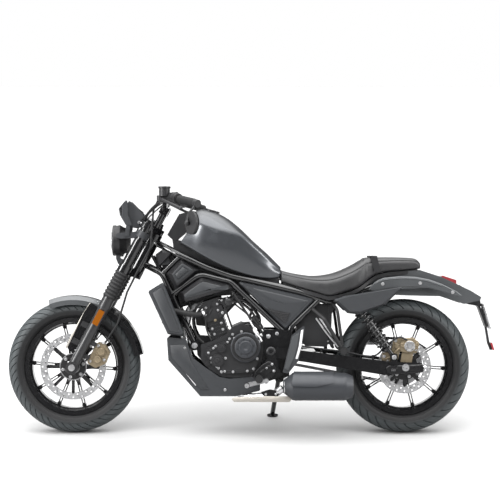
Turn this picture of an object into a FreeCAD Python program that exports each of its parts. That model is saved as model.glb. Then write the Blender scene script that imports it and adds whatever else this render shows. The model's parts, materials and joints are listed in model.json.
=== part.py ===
"""Cruiser motorcycle, full size, parked on its side stand.

The machine is drawn upright in its own frame: X to the rear, Y to the far side, Z up, in millimetres,
with the ground under the middle of the wheelbase as zero. The last step leans it over onto the stand.
"""

import math
import os

import FreeCAD
import Part

# Whole machine
wheelbase = 1490.0
lean_deg = 9.0
rake_deg = 28.0
fork_offset = 44.0
running_gap = 0.3

# Wheels and tyres
front_tyre_radius = 300.0
front_tyre_width = 120.0
rear_tyre_radius = 302.0
rear_tyre_width = 140.0
tyre_wall = 11.0
bead_radius = 206.0
rim_flange_radius = 219.0
rim_inner_radius = 189.0
front_rim_width = 92.0
rear_rim_width = 106.0
rim_flange = 6.0
spoke_count = 10
spoke_width = 16.0
spoke_slot = 6.0
spoke_depth = 30.0
spoke_turn_deg = 22.0
hub_radius = 48.0
front_hub_length = 110.0
rear_hub_length = 140.0
axle_radius = 10.0
disc_thickness = 5.0
front_disc_radius = 148.0
front_disc_band = 32.0
front_disc_y = -62.0
rear_disc_radius = 120.0
rear_disc_band = 34.0
rear_disc_y = -90.0
disc_hole_radius = 4.0
disc_hole_count = 20
carrier_arms = 8

# Fork and steering
fork_spacing = 204.0
fork_tube_radius = 20.5
slider_radius = 24.0
slider_neck_radius = 27.5
slider_foot = 30.0
slider_shoulder = 290.0
slider_top = 352.0
boot_radius = 34.0
boot_folds = 8
lower_yoke_bottom = 483.0
lower_yoke_height = 34.0
upper_yoke_bottom = 703.0
upper_yoke_height = 27.0
fork_top = 746.0
stem_radius = 15.0
head_tube_radius = 33.0
bar_centre_x = 32.0
bar_centre_height = 813.0
riser_radius = 15.0
riser_spacing = 92.0

# Handlebar
bar_radius = 11.0
bar_half_width = 390.0
bar_rise = 60.0
bar_bend_half_width = 150.0
bar_pull_back = 150.0
grip_length = 122.0
grip_radius = 17.0

# Frame tubes
main_tube_radius = 15.0
down_tube_radius = 14.0
brace_tube_radius = 13.0
cross_tube_radius = 11.0
frame_crosses = [(-100.0, 730.0), (277.0, 637.0), (380.0, 601.0)]
rail_cross = (470.0, 618.0)
pivot_x = 145.0
pivot_height = 374.0
pivot_plate_y = 110.0
pivot_plate_thickness = 9.0

# Swingarm
arm_spread = 254.0
arm_width = 26.0
arm_height = 46.0
spool_hole = (672.0, 300.0)
spool_radius = 4.0
spool_depth = 16.0

# Drive
sprocket_radius = 88.0
chain_y = 88.0
chain_width = 14.0
chain_height = 14.0
front_sprocket_radius = 30.0
front_sprocket_x = 92.0
front_sprocket_height = 366.0

# Fenders, lamp and mirrors
fender_half_width = 72.0
fender_thickness = 3.0
fender_front_deg = 21.0
fender_rear_deg = 80.0
fender_seam_deg = 27.0
rear_fender_half = 82.0
headlamp_x = -544.0
headlamp_height = 869.0
headlamp_radius = 68.0
mirror_centre = (-193.0, -436.0, 942.0)
mirror_radius = 50.0
mirror_turn_deg = 30.0

# Panels
shroud_inner_y = 132.0
pan_inner_y = 104.0
pan_outer_y = 110.0

# Silencer and shocks
muffler_y = 160.0
muffler_z = 219.0
muffler_radius = 62.0
spring_wire = 4.2
shock_low = (694.0, 348.0)
shock_high = (515.0, 600.0)

# Engine
cylinder_base = (-116.0, 421.0)
cylinder_tilt_deg = 18.0
clutch_centre = (32.0, 391.0)

# Side stand
stand_pivot = (186.0, 135.0, 240.0)
stand_foot_x = 158.0
stand_foot_y = 272.0

front_axle_x = -wheelbase / 2
rear_axle_x = wheelbase / 2
front_axle_z = front_tyre_radius
rear_axle_z = rear_tyre_radius
Y_AXIS = FreeCAD.Vector(0, 1, 0)
ZERO = FreeCAD.Vector(0, 0, 0)


def vec(x, y, z):
    return FreeCAD.Vector(x, y, z)


def mirrored(shape):
    """The same piece on the other side of the machine."""
    return shape.mirror(ZERO, Y_AXIS)


def both_sides(shape):
    return [shape, mirrored(shape)]


def fused(shapes):
    first, rest = shapes[0], shapes[1:]
    return first.fuse(rest).removeSplitter() if rest else first


def cylinder(radius, start, end):
    return Part.makeCylinder(radius, (end - start).Length, start, end - start)


def across(radius, x, z, y_from, y_to):
    """A round bar across the machine."""
    return cylinder(radius, vec(x, y_from, z), vec(x, y_to, z))


def rounded_wire(points, radius, closed):
    """A wire through points with each corner rounded by a tangent arc."""
    count = len(points)
    corners = range(count) if closed else range(1, count - 1)
    cuts = {}
    for i in corners:
        before, here, after = points[i - 1], points[i], points[(i + 1) % count]
        into = (here - before).normalize()
        out = (after - here).normalize()
        turn = into.getAngle(out)
        if turn < 0.01 or radius <= 0:
            cuts[i] = (here, None, here)
            continue
        reach = min(radius * math.tan(turn / 2), 0.45 * (here - before).Length, 0.45 * (after - here).Length)
        bend = reach / math.tan(turn / 2)
        inward = (out - into).normalize()
        middle = here + inward * (bend / math.cos(turn / 2) - bend)
        cuts[i] = (here - into * reach, middle, here + out * reach)
    if not closed:
        cuts[0] = (points[0], None, points[0])
        cuts[count - 1] = (points[-1], None, points[-1])
    edges = []
    for i in range(count):
        entry, middle, leave = cuts[i]
        if middle is not None:
            edges.append(Part.Arc(entry, middle, leave).toShape())
        if i + 1 < count or closed:
            following = cuts[(i + 1) % count][0]
            if (following - leave).Length > 1e-6:
                edges.append(Part.makeLine(leave, following))
    return Part.Wire(edges)


def tube(points, radius, bend):
    """A round tube bent along points."""
    path = rounded_wire([vec(*p) for p in points], bend, False)
    start = vec(*points[0])
    ring = Part.Wire(Part.makeCircle(radius, start, vec(*points[1]) - start))
    return path.makePipeShell([ring], True, False)


def side_face(outline, y, corner):
    """A flat face in the side view, from (x, z) points."""
    return Part.Face(rounded_wire([vec(x, y, z) for x, z in outline], corner, True))


def slab(outline, y_from, y_to, corner=0.0):
    """A side outline given thickness across the machine."""
    return side_face(outline, y_from, corner).extrude(vec(0, y_to - y_from, 0))


def inset_outline(outline, inset):
    """The outline's points drawn towards its middle, for a bevelled face."""
    mid_x = sum(x for x, z in outline) / len(outline)
    mid_z = sum(z for x, z in outline) / len(outline)
    moved = []
    for x, z in outline:
        length = math.hypot(x - mid_x, z - mid_z)
        share = max(0.1, 1 - inset / length)
        moved.append((mid_x + (x - mid_x) * share, mid_z + (z - mid_z) * share))
    return moved


def bevelled_panel(outline, y_back, y_face, inset, corner):
    """A moulded panel: full size at its back and drawn in at its face."""
    back = rounded_wire([vec(x, y_back, z) for x, z in outline], corner, True)
    face = rounded_wire([vec(x, y_face, z) for x, z in inset_outline(outline, inset)], corner, True)
    return Part.makeLoft([back, face], True, True)


def revolved(outline, x, z, closed=True):
    """A (y, radius) outline of lines turned about a wheel's axle."""
    points = [vec(x, y, z + r) for y, r in outline]
    wire = Part.makePolygon(points + points[:1])
    return Part.Face(wire).revolve(vec(x, 0, z), Y_AXIS, 360)


def on_fork(shape):
    """From the fork's own frame (Z up the leg, X to the rear, zero at the axle) to the machine's."""
    turned = shape.copy()
    turned.rotate(ZERO, Y_AXIS, rake_deg)
    turned.translate(vec(front_axle_x, 0, front_axle_z))
    return turned


def fork_point(x, y, z):
    """A point of the fork's own frame in the machine's."""
    rake = math.radians(rake_deg)
    return (
        front_axle_x + x * math.cos(rake) + z * math.sin(rake),
        y,
        front_axle_z - x * math.sin(rake) + z * math.cos(rake),
    )


# Wheels


def tyre(radius, width, rim_width, x, z):
    """A hollow round-shouldered tyre seated between the rim's flanges."""
    half = width / 2
    seat = rim_width / 2 - rim_flange
    shoulder_y = 0.87 * half
    shoulder_r = radius - 0.36 * half
    bulge_r = (radius + bead_radius) / 2

    def arc(a, b, c):
        return Part.Arc(*[vec(x, y, z + r) for y, r in (a, b, c)]).toShape()

    def line(a, b):
        return Part.makeLine(*[vec(x, y, z + r) for y, r in (a, b)])

    flange_r = rim_flange_radius + 2
    outer = [
        line((seat, bead_radius), (seat, flange_r)),
        arc((seat, flange_r), (half, bulge_r), (shoulder_y, shoulder_r)),
        arc((shoulder_y, shoulder_r), (0, radius), (-shoulder_y, shoulder_r)),
        arc((-shoulder_y, shoulder_r), (-half, bulge_r), (-seat, flange_r)),
        line((-seat, flange_r), (-seat, bead_radius)),
    ]
    w = tyre_wall
    inner = [
        line((-seat, bead_radius), (-seat + w, bead_radius)),
        line((-seat + w, bead_radius), (-seat + w, flange_r)),
        arc((-seat + w, flange_r), (-half + w, bulge_r), (-shoulder_y + w, shoulder_r - w)),
        arc((-shoulder_y + w, shoulder_r - w), (0, radius - w), (shoulder_y - w, shoulder_r - w)),
        arc((shoulder_y - w, shoulder_r - w), (half - w, bulge_r), (seat - w, flange_r)),
        line((seat - w, flange_r), (seat - w, bead_radius)),
        line((seat - w, bead_radius), (seat, bead_radius)),
    ]
    return Part.Face(Part.Wire(outer + inner)).revolve(vec(x, 0, z), Y_AXIS, 360)


def spoke(x, z):
    """One cast spoke standing straight up from the axle: a forked foot, two slim bars and a boss at the rim."""
    root_r = hub_radius - 6
    split_r = hub_radius + 34
    tip_r = rim_inner_radius + 3

    def section(width, depth, r, turn):
        points = [(-width, -depth), (width, -depth), (width, depth), (-width, depth)]
        shift = r * math.tan(math.radians(turn))
        return rounded_wire([vec(x + shift + a / 2, b / 2, z + r) for a, b in points], 2.0, True)

    wide = spoke_width
    deep = spoke_depth
    blade = Part.makeLoft([section(wide, deep - 2, split_r - 4, 0), section(wide - 1, deep - 10, tip_r, 0)], True, True)
    slot = Part.makeBox(spoke_slot, 60, tip_r - split_r - 26, vec(x - spoke_slot / 2, -30, z + split_r + 8))
    legs = []
    for turn in (-1, 1):
        foot = section(9, deep + 4, root_r, turn * 13)
        head = section(9, deep - 4, split_r, turn * 2.2)
        legs.append(Part.makeLoft([foot, head], True, True))
    boss = across(spoke_width / 2 + 1.5, x, z + tip_r - 9, -deep / 2 + 2, deep / 2 - 2)
    return fused([blade.cut(slot)] + legs + [boss])


def rim(rim_width, hub_length, x, z):
    """Cast wheel: rim barrel with drop centre, hub and its spokes."""
    half = rim_width / 2
    well = 24.0
    barrel = revolved(
        [
            (half, rim_flange_radius),
            (half - 1, 200),
            (half - 12, 195),
            (well, rim_inner_radius),
            (-well, rim_inner_radius),
            (-half + 12, 195),
            (-half + 1, 200),
            (-half, rim_flange_radius),
            (-half + rim_flange, rim_flange_radius),
            (-half + rim_flange, bead_radius),
            (-well - 4, bead_radius - 2),
            (-well + 4, 195),
            (well - 4, 195),
            (well + 4, bead_radius - 2),
            (half - rim_flange, bead_radius),
            (half - rim_flange, rim_flange_radius),
        ],
        x,
        z,
    )
    hub = across(hub_radius - 8, x, z, -hub_length / 2, hub_length / 2)
    flange = across(hub_radius + 6, x, z, -spoke_depth / 2 - 4, spoke_depth / 2 + 4)
    arms = []
    for i in range(spoke_count):
        arm = spoke(x, z)
        arm.rotate(vec(x, 0, z), Y_AXIS, spoke_turn_deg + i * 360.0 / spoke_count)
        arms.append(arm)
    wheel = fused([barrel, hub, flange] + arms)
    bore = across(axle_radius + running_gap, x, z, -hub_length, hub_length)
    return wheel.cut(bore)


def brake_disc(radius, band, y, x, z, hub_face):
    """Drilled brake disc on an armed carrier that bolts to the hub."""
    y_from = y - disc_thickness / 2
    y_to = y + disc_thickness / 2
    ring = across(radius, x, z, y_from, y_to).cut(across(radius - band, x, z, y_from - 1, y_to + 1))
    carrier_y = y_to - 3.5
    centre = across(hub_radius + 12, x, z, carrier_y - 1, y_to)
    arms = []
    for i in range(carrier_arms):
        arm = Part.makeBox(14, y_to - carrier_y + 1, radius - band - hub_radius, vec(x - 7, carrier_y - 1, z + hub_radius))
        arm.rotate(vec(x, 0, z), Y_AXIS, i * 360.0 / carrier_arms)
        arms.append(arm)
    spacer = across(hub_radius - 8, x, z, carrier_y, hub_face)
    disc = fused([ring, centre, spacer] + arms)
    holes = [across(hub_radius - 16, x, z, y_from - 5, hub_face + 5)]
    for i in range(disc_hole_count):
        for row, share in ((0, 0.3), (1, 0.7)):
            angle = math.radians((i + row / 2) * 360.0 / disc_hole_count)
            r = radius - band * share
            hx, hz = x + r * math.sin(angle), z + r * math.cos(angle)
            holes.append(across(disc_hole_radius, hx, hz, y_from - 1, y_to + 1))
    return disc.cut(holes)


def rear_sprocket(x, z):
    """Chain wheel with lightening holes, on the far side of the rear hub."""
    face = chain_y - 3
    plate = across(sprocket_radius, x, z, face, face + 6)
    boss = across(hub_radius - 8, x, z, rear_hub_length / 2, face)
    holes = [across(hub_radius - 16, x, z, rear_hub_length / 2 - 1, face + 7)]
    for i in range(6):
        angle = math.radians(i * 60.0)
        hx, hz = x + 62 * math.sin(angle), z + 62 * math.cos(angle)
        holes.append(across(11, hx, hz, face - 1, face + 7))
    return fused([plate, boss]).cut(holes)


def axle(x, z, half_length, nut_radius):
    """Wheel spindle with a head and a nut."""
    bar = across(axle_radius, x, z, -half_length, half_length)
    caps = [across(nut_radius, x, z, side * half_length, side * (half_length + 9)) for side in (-1, 1)]
    return fused([bar] + caps)


# Steering


def yoke(bottom, height, stem_lobe):
    """A triple clamp in the fork's own frame: three lobes joined by a web."""
    half = fork_spacing / 2
    lobes = [Part.makeCylinder(fork_tube_radius + 10, height, vec(0, side * half, bottom)) for side in (-1, 1)]
    lobes.append(Part.makeCylinder(stem_lobe, height, vec(fork_offset, 0, bottom)))
    web = [
        vec(-16, -half, bottom),
        vec(fork_offset - stem_lobe * 0.9, 0, bottom),
        vec(-16, half, bottom),
        vec(18, half, bottom),
        vec(fork_offset + stem_lobe * 0.8, 26, bottom),
        vec(fork_offset + stem_lobe * 0.8, -26, bottom),
        vec(18, -half, bottom),
    ]
    plate = Part.Face(rounded_wire(web, 12.0, True)).extrude(vec(0, 0, height))
    return fused(lobes + [plate])


def fork_tubes():
    half = fork_spacing / 2
    bottom = slider_top
    sleeve_start = lower_yoke_bottom + lower_yoke_height
    tubes = []
    for side in (-1, 1):
        leg = Part.makeCylinder(fork_tube_radius, fork_top - bottom - 6, vec(0, side * half, bottom))
        sleeve = Part.makeCylinder(fork_tube_radius + 5, 128, vec(0, side * half, sleeve_start))
        cap = Part.makeCylinder(fork_tube_radius - 4, 6, vec(0, side * half, fork_top - 6))
        tubes.append(on_fork(fused([leg, sleeve, cap])))
    return tubes


def fork_yokes():
    """Both triple clamps with the steering stem and the handlebar risers."""
    half = fork_spacing / 2
    lower = yoke(lower_yoke_bottom, lower_yoke_height, 34.0)
    upper = yoke(upper_yoke_bottom, upper_yoke_height, 31.0)
    stem_length = upper_yoke_bottom - lower_yoke_bottom
    stem = Part.makeCylinder(stem_radius, stem_length, vec(fork_offset, 0, lower_yoke_bottom))
    nut = Part.makeCylinder(17, 12, vec(fork_offset, 0, upper_yoke_bottom + upper_yoke_height))
    risers = []
    for side in (-1, 1):
        base = vec(bar_centre_x, side * riser_spacing / 2, upper_yoke_bottom + 1)
        risers.append(Part.makeCylinder(riser_radius, bar_centre_height - upper_yoke_bottom + 12, base))
        clamp = Part.makeBox(40, 34, 36, vec(bar_centre_x - 20, side * riser_spacing / 2 - 17, bar_centre_height - 18))
        risers.append(clamp)
    body = fused([lower, upper, stem, nut] + risers)
    legs = [Part.makeCylinder(fork_tube_radius, fork_top, vec(0, side * half, 0)) for side in (-1, 1)]
    return on_fork(body.cut(legs)).cut(handlebar(running_gap))


def fork_slider(side):
    """Lower leg: swollen neck, long barrel and the axle boss."""
    y = side * fork_spacing / 2
    neck_start = slider_shoulder + 14
    outline = [
        (0, -slider_foot),
        (slider_radius - 5, -slider_foot),
        (slider_radius, -slider_foot + 8),
        (slider_radius, slider_shoulder),
        (slider_neck_radius, neck_start),
        (slider_neck_radius, slider_top),
        (0, slider_top),
    ]
    wire = Part.makePolygon([vec(r, y, h) for r, h in outline + outline[:1]])
    leg = Part.Face(wire).revolve(vec(0, y, 0), vec(0, 0, 1), 360)
    boss_half = slider_radius + 2
    boss = Part.makeCylinder(slider_radius + 4, 2 * boss_half, vec(0, y - boss_half, 0), Y_AXIS)
    body = fused([leg, boss])
    return body.cut(Part.makeCylinder(axle_radius, 400, vec(0, -200, 0), Y_AXIS))


def caliper_lugs(side):
    """Two ears behind the leg that carry the brake caliper."""
    y = side * fork_spacing / 2
    ears = [Part.makeBox(34, 12, 20, vec(14, y - 6, z)) for z in (62, 128)]
    return fused(ears)


def fork_sliders():
    plain = fused([fork_slider(-1), stay_lugs(-1), reflector_pads(-1)])
    return [on_fork(fused([plain, caliper_lugs(-1)])), on_fork(mirrored(plain))]


def fork_boots():
    """Rubber gaiters with their folds, over the stanchions above the sliders."""
    pitch = (lower_yoke_bottom - slider_top) / boot_folds
    inner = fork_tube_radius
    boots = []
    for side in (-1, 1):
        y = side * fork_spacing / 2
        outline = [(inner, slider_top)]
        for i in range(boot_folds):
            base = slider_top + i * pitch
            outline += [(boot_radius - 5, base), (boot_radius, base + pitch * 0.5)]
        outline += [(boot_radius - 5, lower_yoke_bottom), (inner, lower_yoke_bottom)]
        wire = Part.makePolygon([vec(r, y, h) for r, h in outline + outline[:1]])
        boots.append(on_fork(Part.Face(wire).revolve(vec(0, y, 0), vec(0, 0, 1), 360)))
    return boots


def front_fender(start_deg, end_deg):
    """Thin arched blade round the front tyre between two angles from straight up, to the rear."""
    crown = front_tyre_radius + 21
    half = fender_half_width
    t = fender_thickness
    outer = [(-half, crown - 42), (-half, crown - 20), (-half * 0.62, crown - 3), (0, crown)]
    outer += [(-y, r) for y, r in reversed(outer[:3])]
    inner = [(y * (half - t) / half, r - t) for y, r in outer]
    inner[0] = (inner[0][0], outer[0][1])
    inner[-1] = (inner[-1][0], outer[-1][1])
    points = [vec(front_axle_x, y, front_axle_z + r) for y, r in outer + inner[::-1]]
    face = Part.Face(Part.makePolygon(points + points[:1]))
    face.rotate(vec(front_axle_x, 0, front_axle_z), Y_AXIS, start_deg)
    return face.revolve(vec(front_axle_x, 0, front_axle_z), Y_AXIS, end_deg - start_deg)


def fender_stays():
    """Plates that hang the fender on the lugs in front of the sliders."""
    inner = fender_half_width + running_gap
    outer = fork_spacing / 2 - slider_radius
    outline = [(-62, 62), (-30, 56), (-26, 240), (-30, 292), (-66, 292), (-72, 240)]
    plates = []
    for side in (-1, 1):
        plates.append(on_fork(slab(outline, side * inner, side * outer, 8)))
    return plates


def stay_lugs(side):
    """Bosses in front of the slider that take the fender stay."""
    y = side * (fork_spacing / 2 - slider_radius)
    lugs = [Part.makeBox(52, 14, 24, vec(-58, min(y, y + side * 14), z)) for z in (96, 182)]
    return fused(lugs)


def headlamp_shell():
    bowl = [
        (headlamp_x - 22, headlamp_radius),
        (headlamp_x + 8, headlamp_radius),
        (headlamp_x + 38, headlamp_radius * 0.78),
        (headlamp_x + 52, headlamp_radius * 0.4),
        (headlamp_x + 54, 0),
    ]
    inner = [(x - 4, max(0, r - 5)) for x, r in bowl[1:]]
    points = bowl + inner[::-1] + [(headlamp_x - 22, headlamp_radius - 5)]
    wire = Part.makePolygon([vec(x, 0, headlamp_height + r) for x, r in points + points[:1]])
    return Part.Face(wire).revolve(vec(0, 0, headlamp_height), vec(1, 0, 0), 360)


def headlamp_lens():
    """Domed glass set in the mouth of the shell."""
    front = headlamp_x - 40
    edge = headlamp_radius - 5 - running_gap
    arc = Part.Arc(
        vec(front, 0, headlamp_height),
        vec(front + 4.5, 0, headlamp_height + edge * 0.55),
        vec(front + 17, 0, headlamp_height + edge),
    ).toShape()
    back = headlamp_x - 8
    points = [
        vec(front + 17, 0, headlamp_height + edge),
        vec(back, 0, headlamp_height + edge),
        vec(back, 0, headlamp_height),
        vec(front, 0, headlamp_height),
    ]
    lines = [Part.makeLine(a, b) for a, b in zip(points, points[1:])]
    face = Part.Face(Part.Wire([arc] + lines))
    return face.revolve(vec(0, 0, headlamp_height), vec(1, 0, 0), 360)


def lamp_clearance():
    """The lamp's barrel grown by the running gap."""
    start = vec(headlamp_x - 60, 0, headlamp_height)
    return cylinder(headlamp_radius + running_gap, start, start + vec(76, 0, 0))


def headlamp_brackets():
    """Side ears back to the fork tubes and a bar down to the lower yoke."""
    pieces = []
    half = fork_spacing / 2
    tube_top = fork_point(0, 0, upper_yoke_bottom - 26)
    ear_y = headlamp_radius + running_gap
    ear_points = [
        (headlamp_x - 4, headlamp_height + 12),
        (headlamp_x + 14, headlamp_height + 8),
        (tube_top[0] + 6, tube_top[2] - 14),
        (tube_top[0] + 2, tube_top[2] + 14),
        (headlamp_x + 12, headlamp_height + 34),
        (headlamp_x - 6, headlamp_height + 30),
    ]
    for side in (-1, 1):
        pieces.append(slab(ear_points, side * (half - 26), side * (half - 18), 4))
        bolt = across(10, headlamp_x + 2, headlamp_height + 21, side * (ear_y - 26), side * (half - 18))
        pieces.append(bolt)
        ring = Part.makeCylinder(fork_tube_radius + 7, 30, vec(0, side * half, upper_yoke_bottom - 46))
        pieces.append(on_fork(ring))
    body = fused(pieces)
    tubes = [
        on_fork(Part.makeCylinder(fork_tube_radius + running_gap, fork_top, vec(0, side * half, 0)))
        for side in (-1, 1)
    ]
    return body.cut(tubes + [lamp_clearance()])


def headlamp_foot():
    """Gray strap from the lower yoke's front to the underside of the lamp."""
    low = fork_point(-30, 0, lower_yoke_bottom + lower_yoke_height / 2)
    high_z = headlamp_height - headlamp_radius - running_gap
    outline = [
        (headlamp_x - 12, high_z + 30),
        (headlamp_x + 6, high_z + 30),
        (headlamp_x + 6, high_z - 12),
        (low[0] + 40, low[2] + 14),
        (low[0] + 34, low[2] - 12),
        (low[0] - 4, low[2] - 6),
        (headlamp_x - 12, high_z - 14),
    ]
    strap = slab(outline, -22, 22, 4)
    clamp = on_fork(yoke(lower_yoke_bottom - running_gap, lower_yoke_height + 2 * running_gap, 34.0))
    front = on_fork(Part.makeBox(400, 400, 900, vec(-16 - running_gap, -200, 100)))
    return strap.cut([lamp_clearance(), clamp, front])


def handlebar(extra=0.0):
    """One bent tube, clamped on the risers and swept back to the grips."""
    x0, _, z0 = fork_point(bar_centre_x, 0, bar_centre_height)
    right = [
        (x0, riser_spacing / 2 + 24, z0),
        (x0 + 8, bar_bend_half_width, z0 + bar_rise * 0.85),
        (x0 + 22, bar_bend_half_width + 80, z0 + bar_rise),
        (x0 + bar_pull_back, bar_half_width, z0 + bar_rise * 0.42),
    ]
    left = [(x, -y, z) for x, y, z in reversed(right)]
    return tube(left + right, bar_radius + extra, 55.0)


def bar_end_frame():
    """End of the bar and the unit direction from the last bend to it."""
    x0, _, z0 = fork_point(bar_centre_x, 0, bar_centre_height)
    bend = vec(x0 + 22, -bar_bend_half_width - 80, z0 + bar_rise)
    end = vec(x0 + bar_pull_back, -bar_half_width, z0 + bar_rise * 0.42)
    return end, (end - bend).normalize()


def grips():
    end, along = bar_end_frame()
    start = end - along * grip_length
    grip = cylinder(grip_radius, start, end)
    flange = cylinder(grip_radius + 4, start, start + along * 5)
    bore = cylinder(bar_radius + running_gap, start - along * 10, end + along * 10)
    return both_sides(fused([grip, flange]).cut(bore))


def bar_controls():
    """Switch housings, lever perches with their levers, and the fluid reservoir on the brake side."""
    end, along = bar_end_frame()
    housing_start = end - along * (grip_length + 44)
    housing_end = end - along * (grip_length + running_gap)
    housing = cylinder(24, housing_start, housing_end)
    perch_start = housing_start - along * 34
    perch = cylinder(19, perch_start, housing_start)
    forward = vec(-1, 0, -0.12).normalize()
    arm_root = perch_start + along * 17
    pivot = arm_root + forward * 46
    arm = cylinder(13, arm_root, pivot)
    knuckle = Part.makeCylinder(14, 24, pivot - vec(0, 0, 12))
    tip = end + forward * 62 + vec(0, 0, -16)
    bend = pivot + along * 45 + forward * 12
    lever = fused([cylinder(7, pivot, bend), Part.makeSphere(7, bend), cylinder(6.5, bend, tip)])
    knob = Part.makeSphere(9, tip)
    bar = handlebar(running_gap)
    side = fused([fused([housing, perch, arm, knuckle]).cut(bar), lever, knob])
    base = arm_root + forward * 26 + vec(0, 0, 14)
    cup = Part.makeCylinder(24, 34, base - vec(0, 0, 7))
    lid = Part.makeCylinder(27, 8, base + vec(0, 0, 27))
    near = fused([side, cup.fuse(lid).cut(bar)])
    return [near, mirrored(side)]


def mirror_arm_points():
    end, along = bar_end_frame()
    outer = end + along * 12
    head = vec(mirror_centre[0], mirror_centre[1], mirror_centre[2])
    return [outer, outer + vec(-34, -18, -46), head + vec(-24, 6, 0)]


def mirror_normal():
    turn = math.radians(mirror_turn_deg)
    return vec(math.cos(turn), math.sin(turn), 0)


def mirrors():
    """Bar end mirrors, each hung below its grip."""
    end, along = bar_end_frame()
    plug = cylinder(grip_radius, end + along * running_gap, end + along * 22)
    points = mirror_arm_points()
    stem = tube([tuple(p) for p in points], 5.5, 18.0)
    head = vec(*mirror_centre)
    facing = mirror_normal()
    back = Part.makeCylinder(mirror_radius, 14, head - facing * 10, facing)
    back = back.makeChamfer(4, [e for e in back.Edges if e.Length > 100][:1])
    ball = Part.makeSphere(12, points[-1])
    return both_sides(fused([plug, stem, back, ball]))


def mirror_glass():
    head = vec(*mirror_centre)
    facing = mirror_normal()
    return both_sides(Part.makeCylinder(mirror_radius - 4, 2, head + facing * (4 + running_gap), facing))


def instrument():
    """Round clock on a stalk above the top yoke."""
    centre = vec(*fork_point(-92, 0, upper_yoke_bottom + 64))
    tilt = vec(0.62, 0, 0.78).normalize()
    case = Part.makeCylinder(40, 30, centre - tilt * 30, tilt)
    bezel = Part.makeCylinder(43, 8, centre - tilt * 8, tilt)
    strap = Part.makeBox(74, 30, 6, vec(-90, -15, upper_yoke_bottom + upper_yoke_height + running_gap))
    return fused([case, bezel, on_fork(strap)])


def flyscreen():
    """Small cowl in front of the clock, bolted to the lamp ears."""
    x, z = headlamp_x, headlamp_height
    outline = [(x + 44, z + 187), (x + 4, z + 143), (x + 10, z + 115), (x + 38, z + 69), (x + 66, z + 69)]
    outline += [(x + 47, z + 116), (x + 47, z + 143)]
    half = headlamp_radius + 24
    cowl = slab(outline, -half, half, 5)
    back = [(x + 45, z + 191), (x + 10, z + 144), (x + 16, z + 116), (x + 44, z + 61), (x + 74, z + 61), (x + 74, z + 191)]
    hollow = slab(back, -half + 5, half - 5, 0)
    plan = [vec(x - 16, -46, z - 69), vec(x + 24, -half, z - 69), vec(x + 104, -half, z - 69)]
    plan += [vec(p.x, -p.y, p.z) for p in reversed(plan)]
    keep = Part.Face(Part.makePolygon(plan + plan[:1])).extrude(vec(0, 0, 400))
    feet = []
    ear = fork_spacing / 2 - 18 + running_gap
    foot = [(x + 32, z + 19), (x + 50, z + 19), (x + 60, z + 81), (x + 42, z + 81)]
    for side in (-1, 1):
        feet.append(slab(foot, side * ear, side * (ear + 6), 3))
    return fused([cowl.common(keep).cut(hollow)] + feet)


def front_caliper():
    """Caliper behind the near fork leg, over the disc's edge."""
    outline = [(46, 48), (92, 44), (124, 84), (118, 138), (78, 160), (46, 152)]
    inner = front_disc_y + 18
    outer = -(fork_spacing / 2 - 6 - running_gap)
    body = slab(outline, outer, inner, 12)
    slot = Part.makeCylinder(front_disc_radius + 4, 14, vec(0, front_disc_y - 7, 0), Y_AXIS)
    limit = Part.makeCylinder(rim_inner_radius - 7, 200, vec(0, -150, 0), Y_AXIS)
    pistons = [Part.makeCylinder(17, 12, vec(82, outer - 12, z), Y_AXIS) for z in (84, 122)]
    lugs = caliper_lugs(-1)
    return on_fork(fused([body.common(limit).cut(slot)] + pistons).cut(lugs))


def reflectors():
    pads = []
    for side in (-1, 1):
        y = side * (fork_spacing / 2 + slider_radius + 2)
        pads.append(on_fork(Part.makeBox(28, 6, 72, vec(-14, min(y, y + side * 6), 218))))
    return pads


def reflector_pads(side):
    y = side * (fork_spacing / 2 + slider_radius - 8)
    return Part.makeBox(24, 10, 64, vec(-12, min(y, y + side * 10), 222))


def front_brake_hose():
    """Hose from the reservoir side of the bar down the near leg to the caliper."""
    perch, along = bar_end_frame()
    top = perch - along * (grip_length + 95)
    points = [
        (top.x - 30, top.y + 30, top.z - 6),
        (top.x - 60, top.y + 80, top.z - 60),
        fork_point(60, -138, 640),
        fork_point(58, -134, 520),
        fork_point(60, -126, 416),
        fork_point(88, -112, 270),
        fork_point(78, -84, 165),
    ]
    return tube(points, 4.5, 28.0)


# Frame


def frame_tubes(extra=0.0):
    """Every tube of the frame; extra grows them to cut clearance in the panels."""
    top = fork_point(fork_offset, 0, upper_yoke_bottom - 36)
    low = fork_point(fork_offset, 0, lower_yoke_bottom + lower_yoke_height + 38)
    near = []
    main = [(top[0], -8, top[2]), (-270, -74, 806), (-140, -84, 748), (-36, -86, 711), (276, -88, 638), (394, -90, 597)]
    near.append(tube(main, main_tube_radius + extra, 60.0))
    down = [(low[0], -6, low[2]), (-344, -48, 719), (-197, -75, 401)]
    near.append(tube(down, down_tube_radius + extra, 60.0))
    brace = [(-296, -60, 626), (-172, -84, 718), (-36, -87, 684), (224, -97, 438)]
    near.append(tube(brace, brace_tube_radius + extra, 60.0))
    rear = [(363, -90, 604), (237, -96, 482), (224, -97, 434)]
    near.append(tube(rear, brace_tube_radius + extra, 40.0))
    strut = [(-342, -50, 722), (-262, -74, 800)]
    near.append(tube(strut, cross_tube_radius + extra, 0))
    return near


def seat_rail_tubes(extra=0.0):
    """Near rail that carries the seat and fender, from the end of the upper tube."""
    rail = [(395, -90, 597), (412, -91, 592), (470, -96, 616), (600, -96, 664), (880, -96, 676)]
    return [tube(rail, cross_tube_radius + extra, 14.0)]


def seat_rails():
    """Bolted rear frame: both rails with a cross tube."""
    near = seat_rail_tubes()[0]
    cross = across(cross_tube_radius, rail_cross[0], rail_cross[1], -96, 96)
    return fused([near, mirrored(near), cross])


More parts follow.
